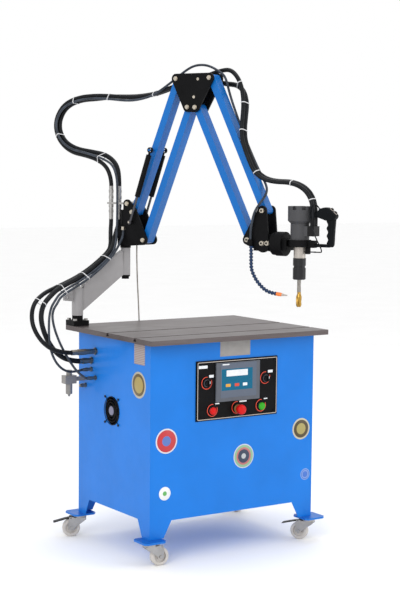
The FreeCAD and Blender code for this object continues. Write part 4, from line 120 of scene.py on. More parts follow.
def path_frames(path):
    """Side and upright directions along a path: both square to its run, the side square to its flattest way."""
    run = np.gradient(path, axis=0)
    run /= np.linalg.norm(run, axis=1)[:, None]
    flattest = np.linalg.svd(run)[2][-1]
    side = np.cross(run, flattest)
    side /= np.linalg.norm(side, axis=1)[:, None]
    return run, side, np.cross(run, side)


def on_circle(turn):
    """Cosine and sine of each turn, as places on a unit circle."""
    return np.column_stack([np.cos(turn), np.sin(turn)])


def round_profile(sides):
    """Places on a unit circle at equal turns."""
    return on_circle(np.linspace(0, 2 * np.pi, sides, endpoint=False))


def carried(name, path, profile, swell=1.0):
    """A profile carried along a path: path point plus profile times the side and upright directions, times swell."""
    side, upright = path_frames(path)[1:]
    reach = profile * np.broadcast_to(swell, len(path))[:, None, None]
    return piece_from_grid(name, path[:, None] + reach[..., :1] * side[:, None] + reach[..., 1:] * upright[:, None],
                           round_ends=True)


def turned(name, profile, centre, axis, sides=48, crease=35, ring=False):
    """Radius and height pairs in millimetres round an axis: centre plus height along it plus radius times the circle.

    A ring's profile closes on itself; any other one is closed at both ends."""
    axis = np.asarray(axis, float)
    lean = np.array([1.0, 0.0, 0.0]) if abs(axis[0]) < 0.9 else np.array([0.0, 1.0, 0.0])
    side = np.cross(axis, lean)
    side /= np.linalg.norm(side)
    radius, height = np.asarray(profile, float).T / 1000
    circle = round_profile(sides)
    around = circle[:, :1] * side + circle[:, 1:] * np.cross(axis, side)
    grid = np.asarray(centre) + height[:, None, None] * axis + radius[:, None, None] * around
    return piece_from_grid(name, grid, round_ends=not ring, closed_along=ring, crease=crease)


def spline_path(points):
    """The smooth line of a route: a curve of order three with the route's points as its control points."""
    curve = bpy.data.curves.new("route", "CURVE")
    curve.dimensions = "3D"
    curve.resolution_u = 8
    spline = curve.splines.new("NURBS")
    spline.points.add(len(points) - 1)
    spline.points.foreach_set("co", np.column_stack([points, np.ones(len(points))]).ravel())
    spline.order_u = 3
    spline.use_endpoint_u = True
    guide = bpy.data.objects.new("route", curve)
    mesh = bpy.data.meshes.new_from_object(guide)
    path = np.empty(3 * len(mesh.vertices))
    mesh.vertices.foreach_get("co", path)
    bpy.data.objects.remove(guide)
    bpy.data.curves.remove(curve)
    bpy.data.meshes.remove(mesh)
    return path.reshape(-1, 3)


def tie(name, place, hoses):
    """A cable tie round a bundle: in each direction, the furthest point of all the hoses, then two rings of it."""
    main = hoses[0][0]
    nearest = np.argmin(np.linalg.norm(main - place, axis=1))
    run, side, upright = (way[nearest] for way in path_frames(main))
    at = main[nearest]
    centres = []
    for path, radius in hoses:
        spot = path[np.argmin(np.abs((path - at) @ run) + np.linalg.norm(path - at, axis=1) * 0.01)] - at
        centres.append([spot @ side, spot @ upright, radius])
    centres = np.array(centres)
    normal = round_profile(72)
    furthest = np.argmax(normal @ centres[:, :2].T + centres[:, 2], axis=1)
    rings = []
    for lift, shift in ((0, -1), (1, -1), (1, 1), (0, 1)):
        edge = centres[furthest, :2] + normal * (centres[furthest, 2] + lift * TIE_THICKNESS)[:, None]
        rings.append(at + edge[:, :1] * side + edge[:, 1:] * upright + shift * TIE_WIDTH / 2 * run)
    return piece_from_grid(name, np.array(rings), closed_along=True)


# Materials.


class Finish:
    """A material and the few nodes that its pattern needs."""

    def __init__(self, name, colour, roughness, **constants):
        self.material = bpy.data.materials.new(name)
        self.material.use_nodes = True
        self.nodes = self.material.node_tree.nodes
        self.shader = self.nodes["Principled BSDF"]
        self.shader.inputs["Base Color"].default_value = (*colour, 1)
        self.shader.inputs["Roughness"].default_value = roughness
        for socket, value in constants.items():
            self.shader.inputs[socket.replace("_", " ")].default_value = value

    def node(self, kind, **values):
        """A new shader node with some of its inputs set."""
        step = self.nodes.new("ShaderNode" + kind)
        for socket, value in values.items():
            step.inputs[socket.replace("_", " ")].default_value = value
        return step

    def link(self, start, end):
        """Join an output socket to an input socket."""
        self.material.node_tree.links.new(start, end)

    def place(self, centre=(0, 0, 0), stretch=(1, 1, 1)):
        """Object coordinates, moved to a centre and stretched."""
        mapping = self.node("Mapping", Location=[-c * s for c, s in zip(centre, stretch)], Scale=stretch)
        self.link(self.node("TexCoord").outputs["Object"], mapping.inputs["Vector"])
        return mapping.outputs["Vector"]

    def noise(self, scale, detail=4, stretch=(1, 1, 1)):
        """Soft noise of so many grains to the metre."""
        cloud = self.node("TexNoise", Scale=scale, Detail=detail, Roughness=0.55)
        self.link(self.place(stretch=stretch), cloud.inputs["Vector"])
        return cloud.outputs["Fac"]

    def distance(self, centre, stretch):
        """Distance from a centre, each direction stretched on its own."""
        length = self.node("VectorMath")
        length.operation = "LENGTH"
        self.link(self.place(tuple(centre), stretch), length.inputs[0])
        return length.outputs["Value"]

    def step(self, operation, first, second):
        """One step of arithmetic between sockets or numbers."""
        step = self.node("Math")
        step.operation = operation
        for slot, value in zip(step.inputs, (first, second)):
            if isinstance(value, (int, float)):
                slot.default_value = value
            else:
                self.link(value, slot)
        return step.outputs["Value"]

    def split(self, vector):
        """The three coordinates of a place."""
        parts = self.node("SeparateXYZ")
        self.link(vector, parts.inputs["Vector"])
        return parts.outputs

    def colour(self, factor, stops, sharp=False):
        """Paint the base colour: a colour for each value of the factor."""
        ramp = self.node("ValToRGB")
        if sharp:
            ramp.color_ramp.interpolation = "CONSTANT"
        elements = ramp.color_ramp.elements
        while len(elements) < len(stops):
            elements.new(0.5)
        for element, (position, colour) in zip(elements, stops):
            element.position = position
            element.color = (*colour, 1)
        self.link(factor, ramp.inputs["Fac"])
        self.link(ramp.outputs["Color"], self.shader.inputs["Base Color"])

    def roughness(self, factor, low, high):
        """Let the roughness follow a factor."""
        spread = self.node("MapRange", From_Min=0.3, From_Max=0.7, To_Min=low, To_Max=high)
        self.link(factor, spread.inputs["Value"])
        self.link(spread.outputs["Result"], self.shader.inputs["Roughness"])

    def bump(self, height, strength, distance):
        """Raise the surface by a height."""
        bump = self.node("Bump", Strength=strength, Distance=distance)
        self.link(height, bump.inputs["Height"])
        self.link(bump.outputs["Normal"], self.shader.inputs["Normal"])


def shade(colour, share):
    """A colour made darker or lighter by a share."""
    return tuple(min(1.0, channel * share) for channel in colour)


def surface(name, colour, roughness=0.45, kind="plastic", grain=None, **constants):
    """A plain finish: broad soft noise moves its tone and its gloss, and fine noise raises its grain."""
    cloud, tones, spots, spread, fine, rise, common = SURFACES[kind]
    finish = Finish(name, colour, roughness, **common, **constants)
    finish.colour(finish.noise(*cloud), [(at, shade(colour, share)) for at, share in tones])
    finish.roughness(finish.noise(*spots), roughness + spread[0], roughness + spread[1])
    finish.bump(finish.noise(grain or fine[0], fine[1]), *rise)
    return finish.material


def ground_plate(name):
    """Ground steel table: fine lines along its length, brownish clouds and a few darker stains."""
    plate = Finish(name, (0.2, 0.17, 0.17), 0.42, Metallic=0.6, Specular_IOR_Level=0.3)
    lines = plate.noise(140, 4, stretch=(0.04, 1, 1))
    clouds = plate.noise(6, 6)
    blend = plate.step("ADD", plate.step("MULTIPLY", lines, 0.45), plate.step("MULTIPLY", clouds, 0.55))
    plate.colour(blend, ((0.3, (0.078, 0.064, 0.064)), (0.5, (0.110, 0.092, 0.092)), (0.7, (0.144, 0.124, 0.124))))
    plate.roughness(blend, 0.3, 0.5)
    plate.bump(lines, 0.2, 0.0003)
    return plate.material


def bare_metal(name, colour, roughness, stretch=(1, 1, 1), grain=300):
    """Turned or plated metal: grain drawn out in one direction, with a soft change of tone."""
    metal = Finish(name, colour, roughness, Metallic=1.0)
    lines = metal.noise(grain, 3, stretch=stretch)
    metal.colour(metal.noise(25, 4), ((0.3, shade(colour, 0.82)), (0.7, shade(colour, 1.08))))
    metal.roughness(lines, roughness - 0.08, roughness + 0.12)
    metal.bump(lines, 0.12, 0.0002)
    return metal.material


def two_tone(name, height, low, high, roughness, metallic):
    """Two tones of metal: below a height the lower one, above it the upper one, both with turning marks."""
    metal = Finish(name, low, roughness, Metallic=metallic)
    above = metal.step("GREATER_THAN", metal.split(metal.place())[2], height)
    metal.colour(above, ((0, low), (0.5, high)), sharp=True)
    lines = metal.noise(700, 2, stretch=(0.05, 0.05, 1))
    metal.roughness(lines, roughness - 0.06, roughness + 0.1)
    metal.bump(lines, 0.15, 0.0002)
    return metal.material


def round_tone(name, axis, radius, inside, outside):
    """Grey within a radius of the spindle's axis, black beyond it: the flat distance to the axis chooses."""
    metal = Finish(name, inside, 0.42, Specular_IOR_Level=0.22)
    beyond = metal.step("GREATER_THAN", metal.distance(axis, (1, 1, 0)), radius)
    metal.colour(beyond, ((0, inside), (0.5, outside)), sharp=True)
    metal.roughness(metal.noise(80, 3), 0.38, 0.5)
    metal.bump(metal.noise(700, 2), 0.1, 0.0002)
    return metal.material


def striped_plate(name, ground, line):
    """Bare plate with plain lines: a wave of the height chooses between the ground and the line's colour."""
    plate = Finish(name, ground, 0.42)
    wave = plate.step("SINE", plate.step("MULTIPLY", plate.split(plate.place())[2], 900.0), 0.0)
    plate.colour(plate.step("MULTIPLY_ADD", wave, 0.5), ((0.15, line), (0.75, ground)))
    plate.roughness(plate.noise(60, 3), 0.36, 0.5)
    return plate.material


def lit_screen(name):
    """Lit display: a grey field, and teal where both distances from the picture's middle are small enough."""
    glass = Finish(name, (0.1, 0.1, 0.1), 0.22, Specular_IOR_Level=0.1)
    x, _, z = glass.split(glass.place((0.004, 0, 0.7178)))
    inside = glass.step("MULTIPLY", glass.step("LESS_THAN", glass.step("ABSOLUTE", x, 0.0), 0.0762),
                        glass.step("LESS_THAN", glass.step("ABSOLUTE", z, 0.0), 0.0435))
    glass.colour(inside, ((0, (0.11, 0.13, 0.17)), (0.5, (0.008, 0.115, 0.205))), sharp=True)
    glass.roughness(glass.noise(40, 3), 0.18, 0.3)
    return glass.material


def ringed_print(name, centre, radius, out, stops):
    """Printed rings: the distance from the label's centre, in the wall's plane, picks the colour."""
    printed = Finish(name, stops[0][1], 0.4)
    printed.colour(printed.distance(centre, tuple((1 - abs(part)) / radius for part in out)), stops, sharp=True)
    printed.bump(printed.noise(900, 2), 0.05, 0.0001)
    return printed.material


# For each kind: grains to the metre and detail of the clouds, their tones, the same for the gloss and its spread, the
# same for the raised grain with its strength and height, and the shader's constants.
SURFACES = {
    "powder": ((5, 3), ((0.3, 0.93), (0.7, 1.05)), (30, 4), (-0.04, 0.08), (450, 2), (0.12, 0.0004),
               {"Coat_Weight": 0.06, "Coat_Roughness": 0.12, "Specular_IOR_Level": 0.22}),
    "satin": ((18, 5), ((0.35, 1.0), (0.75, 1.8)), (60, 3), (-0.08, 0.12), (700, 2), (0.18, 0.0003),
              {"Specular_IOR_Level": 0.09}),
    "enamel": ((9, 5), ((0.3, 0.9), (0.7, 1.05)), (40, 3), (-0.06, 0.1), (160, 4), (0.25, 0.0008),
               {"Coat_Weight": 0.25, "Coat_Roughness": 0.2}),
    "plastic": ((30, 3), ((0.3, 0.92), (0.7, 1.06)), (80, 3), (-0.05, 0.08), (900, 2), (0.1, 0.0002), {}),
    "rubber": ((35, 4), ((0.35, 0.75), (0.75, 1.6)), (90, 3), (-0.1, 0.08), (600, 2), (0.12, 0.0002),
               {"Specular_IOR_Level": 0.16}),
}

FINISHES = {
    "blue": surface("blue powder coat", (0.003, 0.163, 0.60), 0.32, "powder"),
    "tube": surface("blue tube paint", (0.004, 0.125, 0.43), 0.3, "powder"),
    "black": surface("satin black paint", (0.0025, 0.0025, 0.0029), 0.5, "satin"),
    "cream": surface("light grey enamel", (0.31, 0.30, 0.305), 0.4, "enamel"),
    "table": ground_plate("ground steel table"),
    "steel": bare_metal("turned steel", (0.42, 0.41, 0.40), 0.3, (1, 1, 8)),
    "mounts": two_tone("zinc plating under blue paint", 0.0971, (0.40, 0.39, 0.38), (0.003, 0.15, 0.55), 0.38, 0.4),
    "zinc": bare_metal("zinc plating", (0.40, 0.39, 0.38), 0.38, (1, 1, 1), 120),
    "bolts": bare_metal("yellow zinc plating", (0.55, 0.50, 0.42), 0.34, (1, 1, 1), 200),
    "brass": bare_metal("plated brass", (0.27, 0.24, 0.20), 0.32, (4, 1, 1)),
    "rod": bare_metal("dark chromed rod", (0.09, 0.09, 0.10), 0.3),
    "tap": two_tone("tap", 1.075, (0.42, 0.25, 0.055), (0.27, 0.255, 0.235), 0.28, 1.0),
    "spindle": two_tone("spindle and chuck", 1.211, (0.018, 0.018, 0.020), (0.42, 0.385, 0.35), 0.32, 0.55),
    "rubber": surface("dark hose cover", (0.005, 0.0058, 0.0072), 0.4, "rubber"),
    "thin_rubber": surface("blue grey hose cover", (0.035, 0.042, 0.055), 0.4, "rubber"),
    "grey_lead": surface("grey lead cover", (0.27, 0.25, 0.23), 0.4, "rubber"),
    "wheel": surface("pale wheel plastic", (0.50, 0.47, 0.44), 0.32, grain=500),
    "dark_plastic": surface("black plastic", (0.006, 0.006, 0.007), 0.42, Specular_IOR_Level=0.14),
    "grip": surface("grip plastic", (0.003, 0.004, 0.005), 0.42, grain=1200, Specular_IOR_Level=0.08),
    "motor": round_tone("grey anodised motor", TOOL_AXIS, 0.0515, (0.056, 0.056, 0.060), (0.003, 0.003, 0.0035)),
    "hub": surface("violet grey hub", (0.16, 0.16, 0.24), 0.4),
    "collar": surface("ochre collar", (0.20, 0.11, 0.03), 0.45),
    "grey_plastic": surface("grey plastic", (0.088, 0.096, 0.115), Specular_IOR_Level=0.3),
    "red": surface("red plastic", (0.56, 0.008, 0.007), 0.3, Specular_IOR_Level=0.16),
    "green": surface("green plastic", (0.03, 0.34, 0.012), 0.3, Specular_IOR_Level=0.2),
    "label": surface("silver print", (0.42, 0.37, 0.33), 0.4),
    "plate": surface("silver name plate", (0.26, 0.25, 0.24), 0.38),
    "striped_plate": striped_plate("lined name plate", (0.33, 0.31, 0.31), (0.26, 0.17, 0.16)),
    "coolant": surface("navy plastic", (0.010, 0.030, 0.085), 0.4, Specular_IOR_Level=0.3),
    "filter": surface("filter plastic", (0.22, 0.21, 0.20), 0.3),
    "orange": surface("orange plastic", (0.85, 0.20, 0.03), 0.32),
    "tie": surface("pale tie", (0.55, 0.55, 0.56), 0.4),
    "white": surface("white ink", (0.70, 0.72, 0.74), 0.45),
    "amber": surface("amber ink", (0.62, 0.30, 0.03), 0.45),
    "ring_print": surface("red ink", (0.62, 0.045, 0.015), 0.45),
    "screen": lit_screen("screen"),
}

CORNERS = ("front_left", "front_right", "rear_left", "rear_right")
NODE_FINISHES = {
    "blue": ("cabinet_shell", "rear_panel", "base_tray"),
    "tube": ("lower_link_a", "lower_link_b", "upper_link_c", "upper_link_d"),
    "black": ("hydraulic_unit", "control_panel", "pivot_post", "arm_base_bracket", "gas_cylinders", "elbow_plates",
              "head_plates", "head_knuckle", "tool_holder"),
    "motor": ("motor",),
    "cream": ("swing_arm",),
    "table": ("table_top",),
    "steel": ("hose_couplers",),
    "rod": ("gas_rods",),
    "spindle": ("spindle",),
    "mounts": ("caster_mounts",),
    "zinc": ("post_fasteners", *("caster_fork_" + corner for corner in CORNERS)),
    "bolts": ("arm_base_bolts", "elbow_bolts"),
    "tap": ("tap",),
    "brass": ("bulkhead_fittings",),
    "wheel": tuple("caster_wheel_" + corner for corner in CORNERS),
    "dark_plastic": ("fan_unit", "fan_rotor", "brake_pedal_front_right", "brake_pedal_rear_left"),
    "grip": ("handle",),
    "grey_plastic": ("switch_bodies", "screen_unit"),
    "red": ("thumb_button_far",),
    "green": ("thumb_button_near",),
    "filter": ("air_filter",),
}


def dress_nodes():
    """Give each kept node the finish that the real one has."""
    for finish, names in NODE_FINISHES.items():
        for name in names:
            for slot in frame["nodes"][name].material_slots:
                slot.material = FINISHES[finish]


def node_box(name):
    """The lowest and highest corner of a kept node."""
    corners = np.array(frame["nodes"][name].bound_box)
    return corners.min(axis=0), corners.max(axis=0)


def dressed(piece, finish):
    """Give a new piece its material."""
    piece.data.materials.append(FINISHES[finish])
    return piece


def mounted(piece, finish, body, node=None):
    """Dress a new piece and let it ride on its body, in place of a kept node if one is named."""
    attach(dressed(piece, finish), body)
    if node:
        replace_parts(piece, node)


def make_hoses():
    """All hose stretches: each rides on the first of the two bodies that hold its ends, or stays fixed in the room
    where those two have a bend listed.
    """
    paths = {}
    for name, (points, radius, finish, node, bodies) in HOSES.items():
        places = np.array(points).reshape(-1, 3) / 1000
        places = arm_points(places) if bodies[0] in ARM_BODIES else places
        paths[name] = spline_path(places)
        piece = carried(name, paths[name], radius * round_profile(HOSE_SIDES))
        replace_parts(dressed(piece, finish), node)
        bend(piece, bodies)
    return paths


def bend(piece, bodies):
    """Let a piece ride on the first of its two bodies; where the two have a bend listed, leave it fixed in the room
    instead.
    """
    if bodies not in BENDS:
        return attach(piece, bodies[0])
    start, end = np.array(BENDS[bodies])
    if bodies[0] in ARM_BODIES:
        start, end = arm_points([start, end])
    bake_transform(piece)


def make_ties(paths):
    """A pale tie round each bundle at the places where the hoses are held together."""
    for order, (names, spot) in enumerate(TIES):
        bodies = HOSES[names[0]][-1]
        hoses = [(paths[name], HOSES[name][1]) for name in names]
        bend(dressed(tie(f"hose_tie_{order}", np.array(spot) / 1000, hoses), "tie"), bodies)


def raised(rings, *spot):
    """Outlines on a wall, each at its own height: centre plus across, up and height times their directions."""
    centre, across, out = wall_place(*spot)
    return np.array([centre + ring[:, :1] * across + ring[:, 1:] * UP + height * out for ring, height in rings])


def sheet(name, size, radius, thickness, *spot, bevel=0.0003):
    """A thin plate with round corners: its outline at the foot, at the top and drawn in by the bevel there."""
    outline = rounded_outline(*size, radius)
    inset = outline * (1 - bevel / outline.max(axis=0))
    rings = (outline, 0), (outline, thickness - bevel), (inset, thickness)
    return piece_from_grid(name, raised(rings, *spot), round_ends=True, crease=30)


def rounded_outline(width, height, radius, steps=8):
    """A rectangle with round corners: each corner's centre plus the radius times a quarter turn."""
    turn = np.concatenate([np.linspace(quarter, quarter + 1, steps) for quarter in range(4)]) * np.pi / 2
    corner = np.repeat([(1, 1), (-1, 1), (-1, -1), (1, -1)], steps, axis=0)
    return corner * (width / 2 - radius, height / 2 - radius) + radius * on_circle(turn)


def frame_band(name, outer, inner, thickness, *spot, whole=True):
    """A flat band between two outlines: foot and top of the outer, then top and foot of the inner."""
    rings = (outer, 0), (outer, thickness), (inner, thickness), (inner, 0)
    grid = raised(rings, *spot).swapaxes(0, 1)
    return piece_from_grid(name, grid, round_ends=not whole, closed_along=whole, crease=30)


def wall_place(wall, spot, lift=0.0):
    """A spot on the panel, the front or the left wall, with that wall's directions across and outwards."""
    if wall == "left":
        return np.array([LEFT_WALL - lift, *spot]), np.array([0.0, -1.0, 0.0]), np.array([-1.0, 0.0, 0.0])
    front = PANEL_FRONT if wall == "panel" else FRONT_WALL
    return np.array([spot[0], front - lift, spot[1]]), np.array([1.0, 0.0, 0.0]), np.array([0.0, -1.0, 0.0])


def make_panel():
    """The control panel's border, the open rings round its controls, its bare name bars and the lit screen."""
    size = np.array(PANEL_SIZE) - 2 * BORDER_INSET
    outer, inner = rounded_outline(*size, 0.006), rounded_outline(*(size - 2 * BORDER_WIDTH), 0.004)
    border = frame_band("panel_border", outer, inner, 0.0005, "panel", PANEL_MIDDLE)
    mounted(border, "label", "bench")
    circle = on_circle(np.radians(np.linspace(*RING_SWEEP, 60)))
    for name, spot in RINGS.items():
        ring = frame_band("ring_" + name, RING_RADIUS * circle, (RING_RADIUS - RING_WIDTH) * circle, 0.0004,
                          "panel", spot, whole=False)
        mounted(ring, "ring_print", "bench")
    for order, (spot, size) in enumerate(NAME_BARS):
        bar = sheet(f"name_bar_{order}", size, 0.0015, 0.0005, "panel", spot)
        mounted(bar, "white", "bench")
    glass = sheet("screen_glass", SCREEN_SIZE, 0.003, 0.0008, "panel", SCREEN_MIDDLE, SCREEN_LIFT)
    mounted(glass, "screen", "bench")
    for order, (spot, size, finish) in enumerate(SCREEN_BARS):
        bar = sheet(f"screen_bar_{order}", size, 0.002, 0.0004, "panel", spot, SCREEN_LIFT + 0.0007)
        mounted(bar, finish, "bench")


def make_controls():
    """Turned push buttons, the stop button's mushroom and two selector knobs with pale pointers."""
    for name, (body, profile, finish, slot) in TURNED_CONTROLS.items():
        low, high = node_box(name)
        centre = np.array([(low[0] + high[0]) / 2, high[1], (low[2] + high[2]) / 2])
        mounted(turned(name + "_shape", profile, centre, (0, -1, 0)), finish, body, name)
        if name.endswith("knob"):
            tip = centre - (0, profile[-1][1] / 1000, 0)
            for tag, low, high, radius, look in KNOB_BLOCKS:
                mounted(rounded_block(name + tag, tip + low, tip + high, radius), look, body)


def make_labels():
    """Round stickers with plain printed rings, and the bare name plates."""
    for name, (wall, spot, radius, title, stops) in STICKERS.items():
        centre, _, out = wall_place(wall, spot)
        FINISHES[name] = ringed_print(title, centre, radius, out, stops)
        edge = 1000 * radius
        profile = [(0, 0), (edge, 0), (edge, 0.4), (edge - 0.3, 0.6), (0, 0.6)]
        mounted(turned(name, profile, centre, out, 64), name, "bench", "blank_plates")
    for name, (wall, spot, size, finish) in NAME_PLATES.items():
        plate = sheet(name, size, 0.002, 0.0008, wall, spot)
        mounted(plate, finish, "bench", "blank_plates")


def make_handle():
    """Grip with finger grooves, its head with a slanting face, and the bar that carries them.

    The grip's rows stand at heights; the inner side swells in and out with a cosine of the height. The head is its
    outline at several ways across, drawn in towards both cheeks by one less the square root of a cosine."""
    height = np.linspace(GRIP_LOW, GRIP_HIGH, GRIP_ROWS)[:, None]
    share = (height - GRIP_LOW) / (GRIP_HIGH - GRIP_LOW)
    inner = GRIP_INNER + GROOVE_DEPTH * np.cos(share * 2 * np.pi * GRIP_GROOVES) - INNER_LEAN * (share - 0.5)
    outer = GRIP_OUTER + OUTER_LEAN * share - OUTER_HOLLOW * np.sin(share * np.pi)
    round_end = np.sqrt(np.clip(1 - np.clip(1 - share / GRIP_END, 0, 1) ** 2, 0.02, 1))
    middle, half = (inner + outer) / 2, (outer - inner) / 2 * (GRIP_END_WIDTH + (1 - GRIP_END_WIDTH) * round_end)
    circle = round_profile(GRIP_SIDES)
    ring = np.sign(circle) * np.abs(circle) ** GRIP_SQUARENESS
    rows = grid_of(middle + half * ring[:, 0], GRIP_HALF_WIDTH * round_end ** 0.5 * ring[:, 1], height)
    grip = piece_from_grid("grip", tool_points(rows), round_ends=True)
    outline = spline_ring(HEAD_OUTLINE)
    centre = outline.mean(axis=0)
    cheek = np.linspace(-np.pi / 2, np.pi / 2, 15)[:, None]
    drawn = 1 - HEAD_ROUNDING * (1 - np.cos(cheek) ** 0.5)
    across = HEAD_HALF_WIDTH * np.sign(np.sin(cheek)) * np.abs(np.sin(cheek)) ** 0.6
    flat = centre + (outline - centre) * drawn[..., None]
    rows = grid_of(flat[..., 0], across, flat[..., 1])
    head = piece_from_grid("grip_head", tool_points(rows), round_ends=True)
    gland_way = -math.sin(GLAND_TILT) * REACH + math.cos(GLAND_TILT) * UP
    pieces = [(grip, "grip"), (head, "grip")]
    pieces += [(rounded_block(name, low, high, radius, tool_points), finish)
               for name, low, high, radius, finish in HANDLE_BLOCKS]
    pieces += [(turned("lever_arm", LEVER_PROFILE, tool_points(LEVER_FOOT), REACH, 20), "rod"),
               (turned("lead_gland", GLAND_PROFILE, tool_points(GLAND_FOOT), gland_way, 24), "thin_rubber")]
    for piece, finish in pieces:
        mounted(piece, finish, "tool", "handle")
    way = math.sin(THUMB_TILT) * REACH + math.cos(THUMB_TILT) * UP
    for tag, (share, slot) in THUMB_BUTTONS.items():
        reach, rise = np.array(THUMB_START) + share * np.array(THUMB_RUN)
        foot = tool_points((reach, 0, rise)) + THUMB_LIFT * way
        # A rim ring round each thumb button: the ring is real, and its pale colour is a painted glint where the
        # buttons' edges catch the light.
        mounted(turned(f"thumb_rim_painted_glint_{tag}", THUMB_RIM, foot, way, 32, ring=True), "label", "tool")
        mounted(turned(f"thumb_cap_{tag}", THUMB_CAP, foot, way, 32), "dark_plastic", f"thumb_{tag}",
                f"thumb_button_{tag}")


def make_tap():
    """Fluted tap: its radius is the shank's or the thread's, less three flutes that wind round as the height grows.

    A flute is a cosine of three turns and the twist, cut off below nought, times a share of the radius."""
    low, high = node_box("tap")
    height = np.linspace(low[2], high[2], TAP_ROWS)[:, None]
    rises = low[2] + np.array(TAP_RISES)
    radius = np.interp(height, rises, TAP_RADII)
    thread = 2 * THREAD_DEPTH * np.abs(((height / THREAD_PITCH) % 1) - 0.5) * (height < rises[4])
    turn = np.linspace(0, 2 * np.pi, TAP_SIDES, endpoint=False)
    wave = np.cos(3 * turn + (height - low[2]) * TAP_TWIST)
    flute = np.clip(wave, 0, 1) ** 1.5 * np.interp(height, rises, TAP_FLUTES)
    reach = (radius + thread) * (1 - flute)
    centre = (low + high) / 2
    rows = grid_of(centre[0] + reach * np.cos(turn), centre[1] + reach * np.sin(turn), height)
    mounted(piece_from_grid("tap_shape", rows, round_ends=True, crease=50), "tap", "spindle_turning",
            "tap")


def make_bolts():
    """Bright socket screws over the head plates' bolts, the fan's pale hub and the stop button's collar, all turned."""
    for order, (reach, rise) in enumerate(HEAD_BOLTS):
        foot = arm_points((reach, -PLATE_OUTSIDE, rise))
        mounted(turned(f"head_screw_{order}", SCREW_PROFILE, foot, -ACROSS, 32), "bolts", "head")
    mounted(turned("fan_hub", HUB_PROFILE, HUB_FOOT, (-1, 0, 0), 40), "hub", "bench")
    mounted(turned("stop_collar", COLLAR_PROFILE, COLLAR_FOOT, (0, -1, 0), 40), "collar", "bench")


def spline_ring(corners, steps=6):
    """A closed outline with every corner rounded: points of the curve of order three over the corners."""
    corners = np.asarray(corners, float)
    before, after = (corners + np.roll(corners, 1, axis=0)) / 2, (corners + np.roll(corners, -1, axis=0)) / 2
    share = np.linspace(0, 1, steps, endpoint=False)[:, None, None]
    arcs = (1 - share) ** 2 * before + 2 * share * (1 - share) * corners + share ** 2 * after
    return arcs.transpose(1, 0, 2).reshape(-1, 2)


def make_coolant_line():
    """Jointed coolant hose of ball sockets, its valve and its nozzle.

    One socket's outline repeats along the path, and each place's share of it gives the radius there."""
    path = spline_path(arm_points(np.array(NOZZLE_HOSE) / 1000))
    length = np.concatenate([[0], np.cumsum(np.linalg.norm(np.diff(path, axis=0), axis=1))])
    stations = np.linspace(0, length[-1], JOINTS * JOINT_STEPS + 1)
    fine = np.stack([np.interp(stations, length, path[:, axis]) for axis in range(3)], axis=1)
    share = np.linspace(0, JOINTS, len(stations)) % 1
    swell = np.interp(share, JOINT_SHARES, JOINT_RADII) / 1000
    end, way = fine[-1], fine[-1] - fine[-2]
    way /= np.linalg.norm(way)
    mounted(carried("jointed_hose", fine, round_profile(20), swell), "coolant", "head", "coolant_line")
    mounted(turned("coolant_nozzle", NOZZLE_PROFILE, end, way, 24), "orange", "head", "coolant_line")
    valve = rounded_block("coolant_valve", VALVE_LOW, VALVE_HIGH, 0.003, arm_points)
    mounted(valve, "black", "head", "coolant_line")
    mounted(turned("nozzle_tip", NOZZLE_TIP, end, way, 24), "label", "head", "coolant_line")


def rounded_block(name, low, high, radius, place=lambda points: points):
    """A block whose edges are rounded: each corner of a unit ball's grid, moved to the block's inner corner.

    Latitude and longitude cover the ball, and every point is pushed out to the corner of its own octant."""
    latitude = np.linspace(-np.pi / 2, np.pi / 2, 10)[:, None]
    longitude = np.linspace(0, 2 * np.pi, 24, endpoint=False) + np.pi / 24
    ball = grid_of(np.cos(latitude) * np.cos(longitude), np.cos(latitude) * np.sin(longitude), np.sin(latitude))
    octant = np.sign(ball + 1e-9)
    octant[0], octant[-1] = octant[1], octant[-2]
    low, high = np.array([low, high])
    middle, half = (low + high) / 2, (high - low) / 2
    grid = middle + octant * (half - radius) + ball * radius
    return piece_from_grid(name, place(grid), round_ends=True, crease=30)


def make_stage():
    """A wide pale floor."""
    mesh = bpy.data.meshes.new("floor")
    mesh.from_pydata(FLOOR_CORNERS, [], [(0, 1, 2, 3)])
    floor = added("floor", mesh)
    pale = Finish("pale floor", (0.97, 0.97, 0.97), 0.8)
    pale.colour(pale.noise(2, 2), ((0.3, (0.96, 0.96, 0.96)), (0.7, (0.98, 0.98, 0.98))))
    mesh.materials.append(pale.material)


def make_light():
    """A bright room with a large soft box at the front left, a fill at the right and one above."""
    world = bpy.data.worlds.new("room")
    world.use_nodes = True
    background = world.node_tree.nodes["Background"].inputs
    background["Color"].default_value = (1, 1, 1, 1)
    background["Strength"].default_value = 1.0
    bpy.context.scene.world = world
    bpy.context.scene.view_settings.view_transform = "Standard"
    for name, place, target, size, power in SOFT_BOXES:
        light = bpy.data.lights.new(name, "AREA")
        light.shape = "DISK"
        light.size = size
        light.energy = power
        lamp = added(name, light)
        lamp.location = place
        lamp.rotation_euler = (Vector(target) - Vector(place)).to_track_quat("-Z", "Y").to_euler()


def make_camera():
    """Camera at the photograph's place, angle, tilt and lens."""
    turn, dip, roll = np.radians(CAMERA_ANGLES)
    look = np.array([-math.sin(turn) * math.cos(dip), math.cos(turn) * math.cos(dip), -math.sin(dip)])
    right = np.array([math.cos(turn), math.sin(turn), 0.0])
    above = np.cross(right, look)
    tilted_right = math.cos(roll) * right + math.sin(roll) * above
    tilted_up = math.cos(roll) * above - math.sin(roll) * right
    data = bpy.data.cameras.new("camera")
    data.sensor_fit = "VERTICAL"
    data.sensor_height = SENSOR_HEIGHT
    data.lens = LENS
    data.clip_end = 100
    camera = added("camera", data)
    rotation = Matrix(np.column_stack([tilted_right, tilted_up, -look]).tolist()).to_4x4()
    camera.matrix_world = Matrix.Translation(CAMERA_PLACE) @ rotation
    bpy.context.scene.camera = camera


